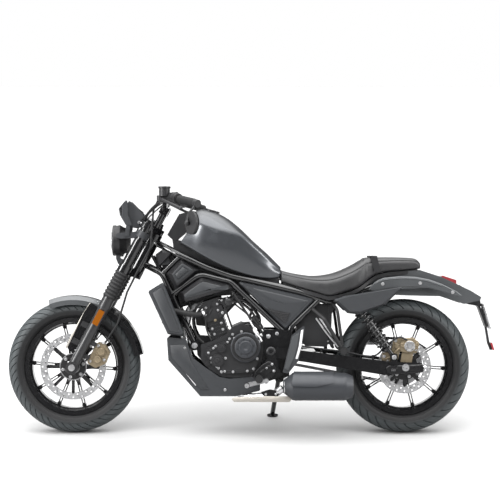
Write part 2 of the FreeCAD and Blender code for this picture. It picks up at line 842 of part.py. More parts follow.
def pivot_plate(extra=0.0):
    outline = [(112, 470), (232, 470), (228, 262), (190, 246), (104, 246), (104, 330), (112, 380)]
    return slab(outline, -pivot_plate_y - extra, -pivot_plate_y + pivot_plate_thickness + extra, 8)


def main_frame():
    """Steering head, twin upper tubes, down tubes, braces and pivot plates."""
    near = fused(frame_tubes() + [pivot_plate(), across(22, -197, 397, -92, -60)])
    head_start = fork_point(fork_offset, 0, lower_yoke_bottom + lower_yoke_height + running_gap)
    head_end = fork_point(fork_offset, 0, upper_yoke_bottom - running_gap)
    head = cylinder(head_tube_radius, vec(*head_start), vec(*head_end))
    crosses = [across(cross_tube_radius, x, z, -90, 90) for x, z in frame_crosses]
    crosses.append(across(20, 205, 440, -101, 101))
    body = fused([near, mirrored(near), head] + crosses)
    stem = cylinder(stem_radius + running_gap, vec(*fork_point(fork_offset, 0, 400)), vec(*fork_point(fork_offset, 0, 800)))
    pivot = across(12 + running_gap, pivot_x, pivot_height, -200, 200)
    return body.cut([stem, pivot])


def frame_clearance():
    """The tubes grown by the running gap, both sides, to seat panels on them."""
    grown = frame_tubes(running_gap) + seat_rail_tubes(running_gap) + [pivot_plate(running_gap)]
    crosses = [across(cross_tube_radius + running_gap, x, z, -96, 96) for x, z in frame_crosses + [rail_cross]]
    return grown + [mirrored(s) for s in grown] + crosses


def fitted(shape):
    return shape.cut(frame_clearance())


def swingarm():
    """Two arms with a pivot tube, a cross beam and the axle plates."""
    half = arm_spread / 2
    arm = [
        (pivot_x - 26, pivot_height + 24),
        (pivot_x + 120, pivot_height + 6),
        (rear_axle_x - 60, rear_axle_z + 26),
        (rear_axle_x + 76, rear_axle_z + 20),
        (rear_axle_x + 82, rear_axle_z - 22),
        (rear_axle_x - 92, rear_axle_z - 34),
        (pivot_x + 130, pivot_height - 44),
        (pivot_x - 26, pivot_height - 22),
    ]
    inner = half - arm_width / 2
    near = slab(arm, -inner, -inner - arm_width, 10)
    beam = Part.makeBox(70, 2 * inner + 10, 44, vec(pivot_x + 130, -inner - 5, pivot_height - 46))
    cheeks = []
    for y in (-half - 12 - running_gap - 6, -half + 12 + running_gap):
        cheeks.append(Part.makeBox(30, 6, 46, vec(shock_low[0] - 15, y, rear_axle_z + 14)))
    bar = across(12, pivot_x, pivot_height, -half - 14.5, half + 14.5)
    cheeks += [mirrored(cheek) for cheek in cheeks]
    body = fused([near, mirrored(near), beam, bar] + cheeks)
    face = inner + arm_width
    holes = [across(spool_radius, *spool_hole, side * (face - spool_depth), side * (face + 1)) for side in (-1, 1)]
    holes.append(across(axle_radius, rear_axle_x, rear_axle_z, -300, 300))
    return body.cut(holes)


def shock_frame():
    low = vec(shock_low[0], -arm_spread / 2, shock_low[1])
    high = vec(shock_high[0], -arm_spread / 2, shock_high[1])
    return low, high, (high - low).normalize(), (high - low).Length


def shocks():
    """Damper body with its rod and eyes, one on each side."""
    low, high, along, length = shock_frame()
    body = cylinder(19, low + along * 60, low + along * (length * 0.62))
    rod = cylinder(8, low + along * 10, high)
    cup_low = cylinder(29, low + along * 48, low + along * 54)
    cup_high = cylinder(29, high - along * 42, high - along * 34)
    eyes = [across(17, p.x, p.z, p.y - 12, p.y + 12) for p in (low, high)]
    neck = cylinder(10, low, low + along * 50)
    return both_sides(fused([body, rod, cup_low, cup_high, neck] + eyes))


def shock_springs():
    """Coil springs round the dampers."""
    low, high, along, length = shock_frame()
    start = low + along * (54 + spring_wire + running_gap)
    height = length - 42 - 54 - 2 * (spring_wire + running_gap)
    turns = 9
    helix = Part.makeHelix(height / turns, height, 24.5)
    ring = Part.Wire(Part.makeCircle(spring_wire, vec(24.5, 0, 0), vec(0, 1, 0)))
    coil = Part.Wire(helix).makePipeShell([ring], True, True)
    turn = FreeCAD.Rotation(vec(0, 0, 1), along)
    coil.Placement = FreeCAD.Placement(start, turn)
    return both_sides(coil)


# Engine


def crankcase():
    """Upper and lower halves of the case, with the hump behind the cylinders."""
    outline = [
        (-158, 404),
        (-190, 398),
        (-186, 352),
        (-128, 286),
        (-70, 256),
        (84, 250),
        (104, 330),
        (124, 330),
        (124, 420),
        (84, 444),
        (52, 486),
        (10, 498),
        (-30, 480),
        (-44, 452),
        (-116, 418),
    ]
    inner = pivot_plate_y - pivot_plate_thickness
    case = slab(outline, -inner, inner, 10)
    lugs = [across(17, -197, 397, side * 44, side * (60 - running_gap)) for side in (-1, 1)]
    corners = [Part.makeBox(100, 60, 160, vec(-268, side * (90 - running_gap) - 30, 320)) for side in (-1, 1)]
    pads = [across(14, x, z, -pan_inner_y, pan_inner_y) for x, z in ((-140, 318), (60, 258))]
    body = fused([case.cut(corners)] + lugs + pads)
    pocket = across(front_sprocket_radius + 18, front_sprocket_x, front_sprocket_height, chain_y - 12, 120)
    trench = Part.makeBox(60, 60, 96, vec(front_sprocket_x, chain_y - 12, front_sprocket_height - 48))
    return body.cut([across(12 + running_gap, pivot_x, pivot_height, -200, 200), pocket, trench])


def along_bore(points):
    """Side outline points given across and up the tilted cylinders."""
    tilt = math.radians(cylinder_tilt_deg)
    base_x, base_z = cylinder_base
    return [
        (base_x + a * math.cos(tilt) - b * math.sin(tilt), base_z + a * math.sin(tilt) + b * math.cos(tilt))
        for a, b in points
    ]


def cylinder_block():
    """Ribbed block of both cylinders, leaning forward."""
    block = slab(along_bore([(0, 0), (78, 0), (78, 84), (0, 84)]), -84, 84, 4)
    ribs = [slab(along_bore([(-4, b), (82, b), (82, b + 4), (-4, b + 4)]), -88, 88, 0) for b in (14, 30, 46, 62)]
    body = fused([block] + ribs)
    return body.cut(crankcase())


def cylinder_head():
    """Head and its cover on top of the block, with the intake stubs behind."""
    gap = running_gap
    head = slab(along_bore([(-6, 84 + gap), (84, 84 + gap), (88, 138), (-8, 138)]), -92, 92, 5)
    cover = slab(along_bore([(-4, 137), (86, 137), (74, 176), (10, 176)]), -86, 86, 8)
    ends = [across(17, *along_bore([(a, 150)])[0], -90, 90) for a in (18, 62)]
    return fused([head, cover] + ends)


def intake():
    """Throttle bodies behind the head and the air box over them."""
    start = along_bore([(88, 112)])[0]
    ports = []
    for side in (-1, 1):
        path = [(start[0], side * 42, start[1]), (-28, side * 42, 596), (2, side * 42, 632)]
        ports.append(tube(path, 22, 24.0))
    outline = [(-236, 780), (-218, 690), (-176, 640), (-96, 618), (-40, 622), (40, 618), (92, 640), (92, 678)]
    outline += [(-36, 706), (-138, 740)]
    box = slab(outline, -56, 56, 6)
    return fitted(fused([box] + ports).cut(cylinder_head()))


def clutch_cover():
    """Near side covers of the crankcase: the stepped clutch drum and two small round covers."""
    face = -(pivot_plate_y - pivot_plate_thickness)
    outline = [(-136, 388), (-43, 426), (-20, 442), (32, 458), (84, 440), (98, 392), (91, 335), (72, 280), (-69, 272), (-102, 294), (-151, 362)]
    base = slab(outline, face - 14, face - running_gap, 12)
    x, z = clutch_centre
    drum = across(66, x, z, face - 30, face - 10)
    drum = drum.makeFillet(7, [e for e in drum.Edges if e.BoundBox.YMin < face - 29 and e.BoundBox.YMax < face - 29])
    ring = across(46, x, z, face - 36, face - 28)
    cap = across(28, x, z, face - 40, face - 30)
    small = across(28, -95, 332, face - 26, face - 10)
    port = across(19, -76, 387, face - 24, face - 10)
    lever_root = across(10, 88, 416, face - 20, face - 8)
    return fused([base, drum, ring, cap, small, port, lever_root])


def alternator_cover():
    """Far side cover of the crankcase."""
    face = pivot_plate_y - pivot_plate_thickness
    outline = [(-140, 380), (-60, 430), (24, 430), (34, 380), (20, 300), (-20, 276), (-110, 296)]
    base = slab(outline, face + running_gap, face + 14, 20)
    drum = across(64, -46, 356, face + 10, face + 34)
    drum = drum.makeFillet(7, [e for e in drum.Edges if e.BoundBox.YMin > face + 33])
    return fused([base, drum])


def radiator():
    outline = [(-396, 638), (-368, 652), (-284, 462), (-312, 448)]
    core = slab(outline, -shroud_inner_y + running_gap, shroud_inner_y - running_gap, 3)
    links = [Part.makeBox(70, 12, 14, vec(-372, -62, 600)), Part.makeBox(70, 12, 14, vec(-312, -74, 480))]
    near = fused(links)
    return fitted(fused([core, near, mirrored(near)]))


def radiator_shrouds():
    outline = [(-404, 641), (-334, 684), (-236, 440), (-316, 450)]
    panel = bevelled_panel(outline, -shroud_inner_y, -shroud_inner_y - 16, 10, 10)
    return both_sides(panel)


def belly_pan():
    """Trough under the engine, open at the top and rear."""
    outline = [
        (-321, 436),
        (-314, 333),
        (-171, 171),
        (-13, 171),
        (97, 196),
        (97, 260),
        (-39, 249),
        (-84, 257),
        (-151, 302),
        (-203, 342),
        (-226, 400),
        (-240, 428),
    ]
    outer = slab(outline, -pan_outer_y, pan_outer_y, 8)
    hollow = [
        (-330, 470),
        (-316, 440),
        (-309, 336),
        (-169, 176),
        (-60, 176),
        (-60, 150),
        (130, 150),
        (130, 300),
        (-60, 330),
        (-200, 470),
    ]
    inner = slab(hollow, -pan_inner_y - running_gap, pan_inner_y + running_gap, 0)
    return outer.cut(inner)


# Panels


def tank_section(x, top, crease, bottom, half, low_half):
    """One cross section: a crown between the knee creases, flat flanks and a flat floor."""
    crown = Part.Arc(vec(x, -half, crease), vec(x, 0, top), vec(x, half, crease)).toShape()
    corners = [vec(x, half, crease), vec(x, low_half, bottom), vec(x, -low_half, bottom), vec(x, -half, crease)]
    lines = [Part.makeLine(a, b) for a, b in zip(corners, corners[1:])]
    return Part.Wire([crown] + lines)


def fuel_tank():
    """Creased tank: crowned above the knees, flat below, falling away to the seat."""
    sections = [
        (-216, 998, 926, 862, 90, 96),
        (-176, 1014, 929, 842, 110, 112),
        (-110, 1000, 914, 797, 132, 122),
        (-50, 969, 911, 751, 139, 122),
        (10, 921, 893, 722, 132, 114),
        (70, 864, 845, 709, 114, 101),
        (130, 810, 790, 697, 89, 84),
        (189, 750, 738, 700, 56, 60),
    ]
    body = Part.makeLoft([tank_section(*s) for s in sections], True, False)
    nose = slab([(-276, 867), (-214, 925), (-200, 925), (-200, 856)], -90, 90, 3)
    tunnel = Part.makeBox(600, 128, 500, vec(-400, -64, 380))
    slope = slab([(-420, 860), (-250, 850), (-120, 800), (60, 712), (250, 690), (250, 400), (-420, 400)], -66, 66, 0)
    hollow = tunnel.common(slope)
    return fitted(fused([body, nose]).cut([hollow, cap_disc(34 + running_gap, 60, 0)]))


def tank_tray():
    """Black tray that fills the space between the tank and the frame tubes."""
    top = [(-296, 846), (-250, 849.6), (-120, 799.6), (60, 711.6), (184, 697)]
    low = [(184, 664), (60, 690), (-36, 712), (-138, 748), (-290, 822)]
    return fitted(slab(top + low, -63, 63, 0))


def cap_disc(radius, height, sink):
    """A disc square to the tank's top where the filler sits."""
    tilt = vec(0.3, 0, 1).normalize()
    return Part.makeCylinder(radius, height, vec(-122, 0, 994) - tilt * sink, tilt)


def filler_cap():
    cap = cap_disc(34, 14, -running_gap)
    return cap.makeChamfer(2, [cap.Edges[0]])


def seat():
    """Low rider's saddle rising to the passenger's pad."""
    side = [
        (192, 733),
        (261, 718),
        (347, 711),
        (404, 718),
        (467, 738),
        (536, 772),
        (570, 795),
        (769, 794),
        (800, 778),
        (817, 748),
        (780, 742),
        (650, 733),
        (610, 720),
        (544, 662),
        (521, 642),
        (454, 625),
        (414, 613),
        (192, 676),
    ]
    body = slab(side, -200, 200, 9)
    half = [(186, 70), (250, 98), (330, 132), (440, 152), (540, 140), (600, 112), (760, 100), (824, 72)]
    points = [vec(x, y, 500) for x, y in half] + [vec(x, -y, 500) for x, y in reversed(half)]
    plan = Part.Face(rounded_wire(points, 40, True)).extrude(vec(0, 0, 400))
    return fitted(body.common(plan))


def seat_strap():
    """Grab strap across the passenger's pad."""
    outer = slab([(592, 800), (620, 800), (636, 726), (608, 726)], -118, 118, 2)
    inner = seat()
    grown = slab([(560, 796.5), (660, 796.5), (660, 700), (560, 700)], -113, 113, 0)
    return outer.cut([inner, grown])


def side_covers():
    """Triangular panels between the tubes, with bevelled edges."""
    outline = [(-8, 688), (352, 608), (214, 462)]
    panel = bevelled_panel(outline, -92, -108, 16, 6)
    return both_sides(fitted(panel))


def frame_infills():
    """Faceted covers between the tubes behind the steering head, and the cover before the tank."""
    small = bevelled_panel([(-374, 806), (-344, 828), (-296, 812), (-362, 744)], -60, -72, 12, 3)
    diamond = bevelled_panel([(-322, 722), (-256, 792), (-172, 738), (-282, 646)], -70, -88, 20, 5)
    front = slab([(-322, 894), (-268, 988), (-222, 1000), (-222, 920), (-282, 868), (-300, 874)], -60, 60, 4)
    under = slab([(-400, 920), (-300, 900), (-230, 850), (-200, 800), (-400, 800)], -44, 44, 0)
    cover = fitted(front.cut([under, fuel_tank()]))
    return both_sides(fitted(small)) + both_sides(fitted(diamond)) + [cover]


def head_wings():
    """Ducts beside the cylinder head, hung under the frame tubes."""
    outline = [(-263, 634), (-166, 703), (-100, 687), (-36, 671), (-20, 652), (-252, 586)]
    return both_sides(fitted(bevelled_panel(outline, -88, -108, 16, 4)))


def pivot_covers():
    """Gray covers outside the swingarm behind the pivot."""
    y = arm_spread / 2 + arm_width / 2 + 3
    panel = slab([(297, 493), (237, 446), (197, 281), (222, 276), (268, 333), (292, 450)], -y - 6, -y, 6)
    boss = across(8, 216, 300, -y, -pivot_plate_y)
    return both_sides(fused([panel, boss]))


def wedge_panels():
    """Faceted panels under the seat that hide the upper shock mounts."""
    outline = [(424, 605), (473, 622), (735, 664), (655, 585), (535, 539), (484, 545)]
    y = arm_spread / 2 + 30
    panel = bevelled_panel(outline, -y, -y - 14, 14, 4)
    post = across(12, shock_high[0], shock_high[1] + 2, -y, -arm_spread / 2 - 12 - running_gap)
    return both_sides(fused([panel, post]))


def shock_mounts():
    """Brackets from the seat rails out to the upper shock eyes."""
    x, z = shock_high
    inner = arm_spread / 2 - 12 - running_gap
    plate = slab([(x - 26, z + 22), (x + 40, z + 40), (x + 26, z - 22), (x - 22, z - 22)], -inner, -inner + 14, 6)
    return both_sides(fitted(plate))


def inner_mudguard():
    """Guard in front of the rear tyre, under the seat."""
    outline = [(404, 586), (420, 602), (516, 624), (516, 610), (440, 588), (420, 540), (416, 440), (432, 384)]
    outline += [(420, 382), (403, 440)]
    chain_side = [Part.makeBox(90, 40, 80, vec(376, side * 96 - 20, 370)) for side in (-1, 1)]
    return fitted(slab(outline, -84, 84, 4).cut(chain_side))


def battery_box():
    """Box for the battery and electrics between the rear tubes, above the swingarm's beam."""
    outline = [(262, 612), (262, 452), (300, 394), (400, 390), (402.7, 440), (403.7, 584), (380, 578), (340, 600)]
    return fitted(slab(outline, -78, 78, 6))


def rear_fender():
    """Short channel fender over the tyre, running out to the tail."""
    top = [(524, 640), (560, 664), (600, 699), (640, 721), (816, 736), (917, 703), (1043, 644), (1093, 613)]
    bottom = [(1086, 600), (1014, 583), (911, 618), (767, 621), (600, 628), (530, 632)]
    outer = slab(top + bottom, -rear_fender_half, rear_fender_half, 5)
    lower_top = [(x + 2, z - 4) for x, z in top[1:-1]]
    section = [(530, 560), (530, 638)] + lower_top + [(1082, 612), (1082, 560)]
    hollow = slab(section, -rear_fender_half + 4, rear_fender_half - 4, 0)
    return fitted(outer.cut(hollow))


def fender_struts():
    """Forged arms on both sides that carry the rear fender."""
    outline = [(600, 655), (640, 696), (720, 705), (823, 690), (915, 658), (823, 656), (700, 650)]
    inner = 96 + cross_tube_radius + running_gap
    plate = slab(outline, -inner - 8, -inner, 5)
    bolts = [across(9, x, z, -inner - 12, -inner) for x, z in ((640, 672), (805, 675))]
    return both_sides(fused([plate] + bolts))


def tail_lamp():
    """Red lamp on a low housing across the tail."""
    housing = slab([(918, 712), (985, 690), (985, 660), (918, 690)], -42, 42, 4)
    fender = slab([(816, 736.3), (917, 703.3), (1043, 644.3), (1043, 500), (816, 500)], -80, 80, 0)
    return housing.cut(fender)


def plate_holder():
    """Bracket from the tail down behind the tyre, with the plate lamp."""
    outline = [(1000, 606), (1000, 668), (1092, 612), (1096.7, 584), (1128, 480), (1119, 477), (1084, 572), (1040, 580)]
    arm = slab(outline, -30, 30, 0)
    rod = slab([(1116, 492), (1125.5, 488), (1140.6, 404.5), (1150.4, 372.5), (1142, 372), (1130, 404)], -8, 8, 0)
    return fused([arm, rod]).cut(rear_fender())


def number_plate():
    top = vec(1094, 0, 580)
    board = Part.makeBox(2.5, 190, 118, vec(0, -95, -118))
    board.rotate(ZERO, Y_AXIS, -17)
    board.translate(vec(1097, 0, 584))
    return board


def rear_reflector():
    disc = Part.makeBox(8, 60, 34, vec(0, -30, -17))
    disc.rotate(ZERO, Y_AXIS, -17)
    disc.translate(vec(1146, 0, 388))
    return disc


# Exhaust and controls


def exhaust_pipes():
    """Two header pipes down the front of the engine, joined under it and led to the silencer."""
    drop = [(-158, -30, 588), (-222, -28, 566), (-247, -26, 440), (-230, -26, 342), (-152, -26, 222)]
    near = drop + [(-50, -34, 196), (60, -100, 166), (150, -150, 178), (197.7, -muffler_y, muffler_z - 8)]
    far = [(x, -y, z) for x, y, z in drop] + [(-50, 0, 196), (60, -92, 166)]
    pipes = fused([tube(near, 17, 50.0), tube(far, 17, 50.0)])
    return pipes.cut([cylinder_head(), muffler()])


def muffler():
    """Short silencer with a cone at the front, a cover and an end cap."""
    half = muffler_radius
    outline = [
        (198, 0),
        (198, 26),
        (240, half - 2),
        (250, half),
        (470, half),
        (478, half - 2),
        (508, half - 14),
        (508, 20),
        (490, 20),
        (490, 0),
    ]
    points = [vec(x, -muffler_y, muffler_z + r) for x, r in outline]
    can = Part.Face(Part.makePolygon(points + points[:1])).revolve(vec(0, -muffler_y, muffler_z), vec(1, 0, 0), 360)
    return can


def muffler_cover():
    """Formed heat shield over the top and outer side of the silencer."""
    shell = cylinder(muffler_radius + 5, vec(232, -muffler_y, muffler_z), vec(420, -muffler_y, muffler_z))
    core = cylinder(muffler_radius + running_gap, vec(200, -muffler_y, muffler_z), vec(500, -muffler_y, muffler_z))
    keep = slab([(232, 226), (250, 300), (330, 310), (420, 290), (420, 240), (340, 222)], -260, -muffler_y + 20, 6)
    return shell.cut(core).common(keep)


def footrest_plates():
    """Plates outside the pivot with the riders' footrests."""
    y = arm_spread / 2 + arm_width / 2 + 2
    outline = [(60, 262), (70, 284), (126, 336), (128, 380), (160, 380), (180, 300), (196, 268), (150, 246), (104, 232)]
    plate = slab(outline, -y - 7, -y, 6)
    posts = [across(9, x, z, -y, -pivot_plate_y) for x, z in ((150, 300), (120, 264))]
    return both_sides(fused([plate] + posts))


def footrests():
    y = arm_spread / 2 + arm_width / 2 + 9
    peg = across(14, 92, 256, -y - 100, -y - running_gap)
    cap = across(16, 92, 256, -y - 104, -y - 98)
    return both_sides(fused([peg, cap]))


def brake_pedal():
    """Near side pedal with its toe peg."""
    y = arm_spread / 2 + arm_width / 2 + 9
    arm = slab([(132, 250), (118, 236), (40, 218), (30, 228), (38, 238), (112, 252)], -y - 34, -y - 26, 3)
    hub = across(11, 124, 244, -y - 34, -y - running_gap)
    peg = across(10, 38, 227, -y - 74, -y - 26)
    return fused([arm, hub, peg]).cut(across(16.5, 92, 256, -400, 0))


def shift_lever():
    """Far side lever with its toe peg."""
    y = arm_spread / 2 + arm_width / 2 + 9
    arm = slab([(132, 250), (118, 232), (-20, 240), (-26, 250), (-16, 258), (112, 252)], y + 26, y + 34, 3)
    hub = across(11, 124, 242, y + running_gap, y + 34)
    peg = across(10, -16, 249, y + 26, y + 70)
    return fused([arm, hub, peg]).cut(across(16.5, 92, 256, 0, 400))


def passenger_footrests():
    y = arm_spread / 2 + 30
    rod = tube([(334, -100, 560), (380, -y, 520), (462, -y, 385)], 9, 30.0)
    brace = tube([(420, -100, 590), (440, -y, 560), (462, -y, 400)], 7, 30.0)
    peg = across(15, 465, 380, -y - 72, -y + 10)
    return both_sides(fitted(fused([rod, brace, peg])))


def drive_chain():
    """Closed chain run round both sprockets, as one flat link band."""
    big, small = sprocket_radius, front_sprocket_radius
    dx = rear_axle_x - front_sprocket_x
    dz = rear_axle_z - front_sprocket_height
    length = math.hypot(dx, dz)
    base = math.atan2(dz, dx)
    lean = math.acos((big - small) / length)

    def band(extra):
        def at(cx, cz, r, angle):
            return vec(cx + r * math.cos(angle), chain_y - chain_width / 2, cz + r * math.sin(angle))

        up = base + math.pi - lean
        down = base + math.pi + lean
        rb, rs = big + extra, small + extra
        p1 = at(rear_axle_x, rear_axle_z, rb, up)
        p2 = at(front_sprocket_x, front_sprocket_height, rs, up)
        p3 = at(front_sprocket_x, front_sprocket_height, rs, down)
        p4 = at(rear_axle_x, rear_axle_z, rb, down)
        near_mid = at(front_sprocket_x, front_sprocket_height, rs, base + math.pi)
        far_mid = at(rear_axle_x, rear_axle_z, rb, base)
        edges = [
            Part.makeLine(p1, p2),
            Part.Arc(p2, near_mid, p3).toShape(),
            Part.makeLine(p3, p4),
            Part.Arc(p4, far_mid, p1).toShape(),
        ]
        return Part.Face(Part.Wire(edges)).extrude(vec(0, chain_width, 0))

    return band(chain_height / 2 + 3).cut(band(-chain_height / 2 + 8))


def front_sprocket():
    x, z = front_sprocket_x, front_sprocket_height
    wheel = across(front_sprocket_radius, x, z, chain_y - 4, chain_y + 4)
    shaft = across(14, x, z, pivot_plate_y - pivot_plate_thickness - 20, chain_y)
    return wheel


def chain_guard():
    """Light cover over the chain's top run."""
    outline = [(380, 430), (640, 430), (800, 418), (868, 374), (860, 368), (796, 408), (640, 419), (380, 419)]
    outer = chain_y + chain_width / 2
    face = arm_spread / 2 - arm_width / 2
    guard = slab(outline, chain_y - chain_width / 2 - 2, outer + 2, 0)
    wall = slab([(380, 430), (640, 430), (640, 400), (380, 408)], outer + 1, outer + 3, 0)
    feet = [Part.makeBox(16, face - outer - 1, z - 300, vec(x, outer + 1, 300)) for x, z in ((392, 428), (776, 414))]
    return fused([guard, wall] + feet)


def rear_caliper():
    """Caliper on a hanger between the disc and the arm."""
    x, z = rear_axle_x + 22, rear_axle_z + 92
    body = slab([(x - 44, z - 24), (x + 30, z - 30), (x + 42, z + 10), (x + 20, z + 38), (x - 34, z + 34)], -118, rear_disc_y + 20, 8)
    slot = across(rear_disc_radius + 4, rear_axle_x, rear_axle_z, rear_disc_y - 7, rear_disc_y + 7)
    inner_arm = arm_spread / 2 - arm_width / 2 - running_gap
    hanger = slab([(x - 30, z), (x + 20, z), (rear_axle_x + 26, rear_axle_z - 10), (rear_axle_x - 26, rear_axle_z - 10)], -inner_arm, -inner_arm + 9, 6)
    piston = across(25, x - 2, z + 2, -128, -110)
    hole = across(axle_radius + running_gap, rear_axle_x, rear_axle_z, -200, 200)
    limit = across(rim_inner_radius - 8, rear_axle_x, rear_axle_z, -300, 300)
    return fused([body.cut(slot), hanger, piston]).common(limit).cut(hole)


# Side stand


def lean_up():
    """Direction in the upright frame that points straight up once the machine leans."""
    lean = math.radians(lean_deg)
    return vec(0, -math.sin(lean), math.cos(lean))


def stand_foot_point():
    """Where the stand's foot meets the ground, in the upright frame."""
    lean = math.radians(lean_deg)
    drop = tyre_crown(front_tyre_radius, front_tyre_width) * (1 - math.cos(lean))
    z = (stand_foot_y * math.sin(lean) - drop) / math.cos(lean)
    return vec(stand_foot_x, stand_foot_y, z)


def tyre_crown(radius, width):
    """Radius of the tread's cross section."""
    chord = 0.87 * width / 2
    rise = 0.36 * width / 2
    return (chord * chord + rise * rise) / (2 * rise)


def stand_axis():
    """Hinge axis of the side stand: square to the leg both down and folded."""
    leg = stand_foot_point() - vec(*stand_pivot)
    folded = vec(1, 0.02, 0.14)
    return leg.cross(folded).normalize()


def side_stand():
    foot = stand_foot_point()
    up = lean_up()
    pivot = vec(*stand_pivot)
    pad = Part.makeCylinder(26, 6, foot, up)
    ankle = foot + up * 12
    leg = tube([tuple(pivot), tuple(ankle)], 11, 0)
    hub_axis = stand_axis()
    hub = Part.makeCylinder(18, 24, pivot - hub_axis * 12, hub_axis)
    tang = cylinder(6, foot + up * 6, foot + up * 30)
    return fused([pad, leg, hub, tang])


def stand_bracket():
    """Clevis on the frame that carries the stand's hub."""
    pivot = vec(*stand_pivot)
    axis = stand_axis()
    inner = axis if axis.y < 0 else axis * -1
    cheek = Part.makeCylinder(20, 9, pivot + inner * (12 + running_gap), inner)
    arm = slab([(168, 280), (212, 280), (206, 222), (170, 222)], pivot_plate_y, pivot_plate_y + 9, 4)
    swept = Part.makeCylinder(26, 60, pivot + inner * (12 + running_gap), inner * -1)
    plate = Part.makeBox(400, 100, 400, vec(0, pivot_plate_y - 100, 100))
    return fused([cheek, arm]).cut([swept, plate])


def build():
    """Every piece of the machine by name, upright."""
    fx, fz = front_axle_x, front_axle_z
    rx, rz = rear_axle_x, rear_axle_z
    front_axle_half = fork_spacing / 2 + slider_radius + 2
    rear_axle_half = arm_spread / 2 + arm_width / 2
    parts = {
        "main_frame": [main_frame()],
        "frame_brackets": shock_mounts() + footrest_plates() + [stand_bracket()],
        "seat_rails": [seat_rails()],
        "swingarm": [swingarm()],
        "shocks": shocks(),
        "shock_springs": shock_springs(),
        "crankcase": [crankcase()],
        "cylinders": [cylinder_block(), cylinder_head()],
        "air_box": [intake(), tank_tray()],
        "engine_covers": [clutch_cover(), alternator_cover()],
        "radiator": [radiator()],
        "radiator_shrouds": radiator_shrouds(),
        "belly_pan": [belly_pan()],
        "fuel_tank": [fuel_tank()],
        "filler_cap": [filler_cap()],
        "seat": [seat()],
        "seat_strap": [seat_strap()],
        "side_panels": side_covers() + pivot_covers() + wedge_panels(),
        "frame_infills": frame_infills() + head_wings(),
        "rear_guards": [inner_mudguard(), battery_box(), chain_guard()],
        "rear_fender": [rear_fender()],
        "fender_struts": fender_struts(),
        "rear_lamps": [tail_lamp(), rear_reflector()],
        "plate_holder": [plate_holder()],
        "number_plate": [number_plate()],
        "exhaust_pipes": [exhaust_pipes()],
        "muffler": [muffler(), muffler_cover()],
        "footrests": footrests() + passenger_footrests(),
        "foot_controls": [brake_pedal(), shift_lever()],
        "drive_chain": [drive_chain(), front_sprocket()],
        "rear_caliper": [rear_caliper()],
        "rear_axle": [axle(rx, rz, rear_axle_half, 16)],
        "side_stand": [side_stand()],
        "fork_yokes": [fork_yokes()] + fork_tubes(),
        "fork_sliders": fork_sliders(),
        "fork_boots": fork_boots(),
        "front_fender": [front_fender(-fender_front_deg, fender_seam_deg - 0.05)],
        "fender_tail": [front_fender(fender_seam_deg, fender_rear_deg)] + fender_stays(),
        "headlamp_shell": [headlamp_shell()],
        "headlamp_lens": [headlamp_lens()],
        "headlamp_brackets": [headlamp_brackets(), headlamp_foot()],
        "flyscreen": [flyscreen()],
        "instrument": [instrument()],
        "handlebar": [handlebar()],
        "grips": grips(),
        "bar_controls": bar_controls(),
        "mirrors": mirrors(),
        "front_caliper": [front_caliper()],
        "fork_reflectors": reflectors(),
        "brake_hose": [front_brake_hose()],
        "front_axle": [axle(fx, fz, front_axle_half, 15)],
        "front_rim": [rim(front_rim_width, front_hub_length, fx, fz)],
        "front_tyre": [tyre(front_tyre_radius, front_tyre_width, front_rim_width, fx, fz)],
        "front_disc": [brake_disc(front_disc_radius, front_disc_band, front_disc_y, fx, fz, -front_hub_length / 2)],
        "rear_rim": [rim(rear_rim_width, rear_hub_length, rx, rz)],
        "rear_tyre": [tyre(rear_tyre_radius, rear_tyre_width, rear_rim_width, rx, rz)],
        "rear_disc": [brake_disc(rear_disc_radius, rear_disc_band, rear_disc_y, rx, rz, -rear_hub_length / 2)],
        "rear_sprocket": [rear_sprocket(rx, rz)],
    }
    return {name: Part.makeCompound(shapes) if len(shapes) > 1 else shapes[0] for name, shapes in parts.items()}


def leaned(shape):
    """From the upright frame to the machine at rest on its stand."""
    lean = math.radians(lean_deg)
    drop = tyre_crown(front_tyre_radius, front_tyre_width) * (1 - math.cos(lean))
    resting = shape.copy()
    resting.rotate(ZERO, vec(1, 0, 0), -lean_deg)
    resting.translate(vec(0, 0, drop))
    return resting


def centring(shapes):
    """Shift that puts the middle of the whole machine over zero."""
    box = FreeCAD.BoundBox()
    for shape in shapes:
        box.add(shape.optimalBoundingBox(False, False))
    return vec(-(box.XMin + box.XMax) / 2, -(box.YMin + box.YMax) / 2, 0)


def main():
    os.makedirs("parts", exist_ok=True)
    pieces = {name: leaned(shape) for name, shape in build().items()}
    shift = centring(list(pieces.values()))
    for name, shape in pieces.items():
        shape.translate(shift)
        shape.exportStep("parts/" + name + ".step")


main()
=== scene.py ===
import json
import math

import bmesh
import bpy
from mathutils import Matrix, Vector


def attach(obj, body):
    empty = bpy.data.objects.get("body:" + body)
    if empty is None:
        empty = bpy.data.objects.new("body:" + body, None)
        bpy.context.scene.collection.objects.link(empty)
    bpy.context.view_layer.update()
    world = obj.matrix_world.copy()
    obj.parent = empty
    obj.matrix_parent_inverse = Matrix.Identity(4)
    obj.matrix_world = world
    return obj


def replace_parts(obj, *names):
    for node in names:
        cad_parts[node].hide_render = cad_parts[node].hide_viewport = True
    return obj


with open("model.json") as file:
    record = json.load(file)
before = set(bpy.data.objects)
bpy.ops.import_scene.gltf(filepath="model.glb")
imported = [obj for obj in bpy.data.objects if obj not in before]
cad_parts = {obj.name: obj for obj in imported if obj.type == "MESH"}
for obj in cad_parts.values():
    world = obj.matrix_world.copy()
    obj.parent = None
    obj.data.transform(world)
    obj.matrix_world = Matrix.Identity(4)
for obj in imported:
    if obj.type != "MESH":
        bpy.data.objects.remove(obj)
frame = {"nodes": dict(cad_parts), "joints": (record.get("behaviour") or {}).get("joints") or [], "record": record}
nodes = frame["nodes"]
joints = {j["name"]: j for j in frame["joints"]}

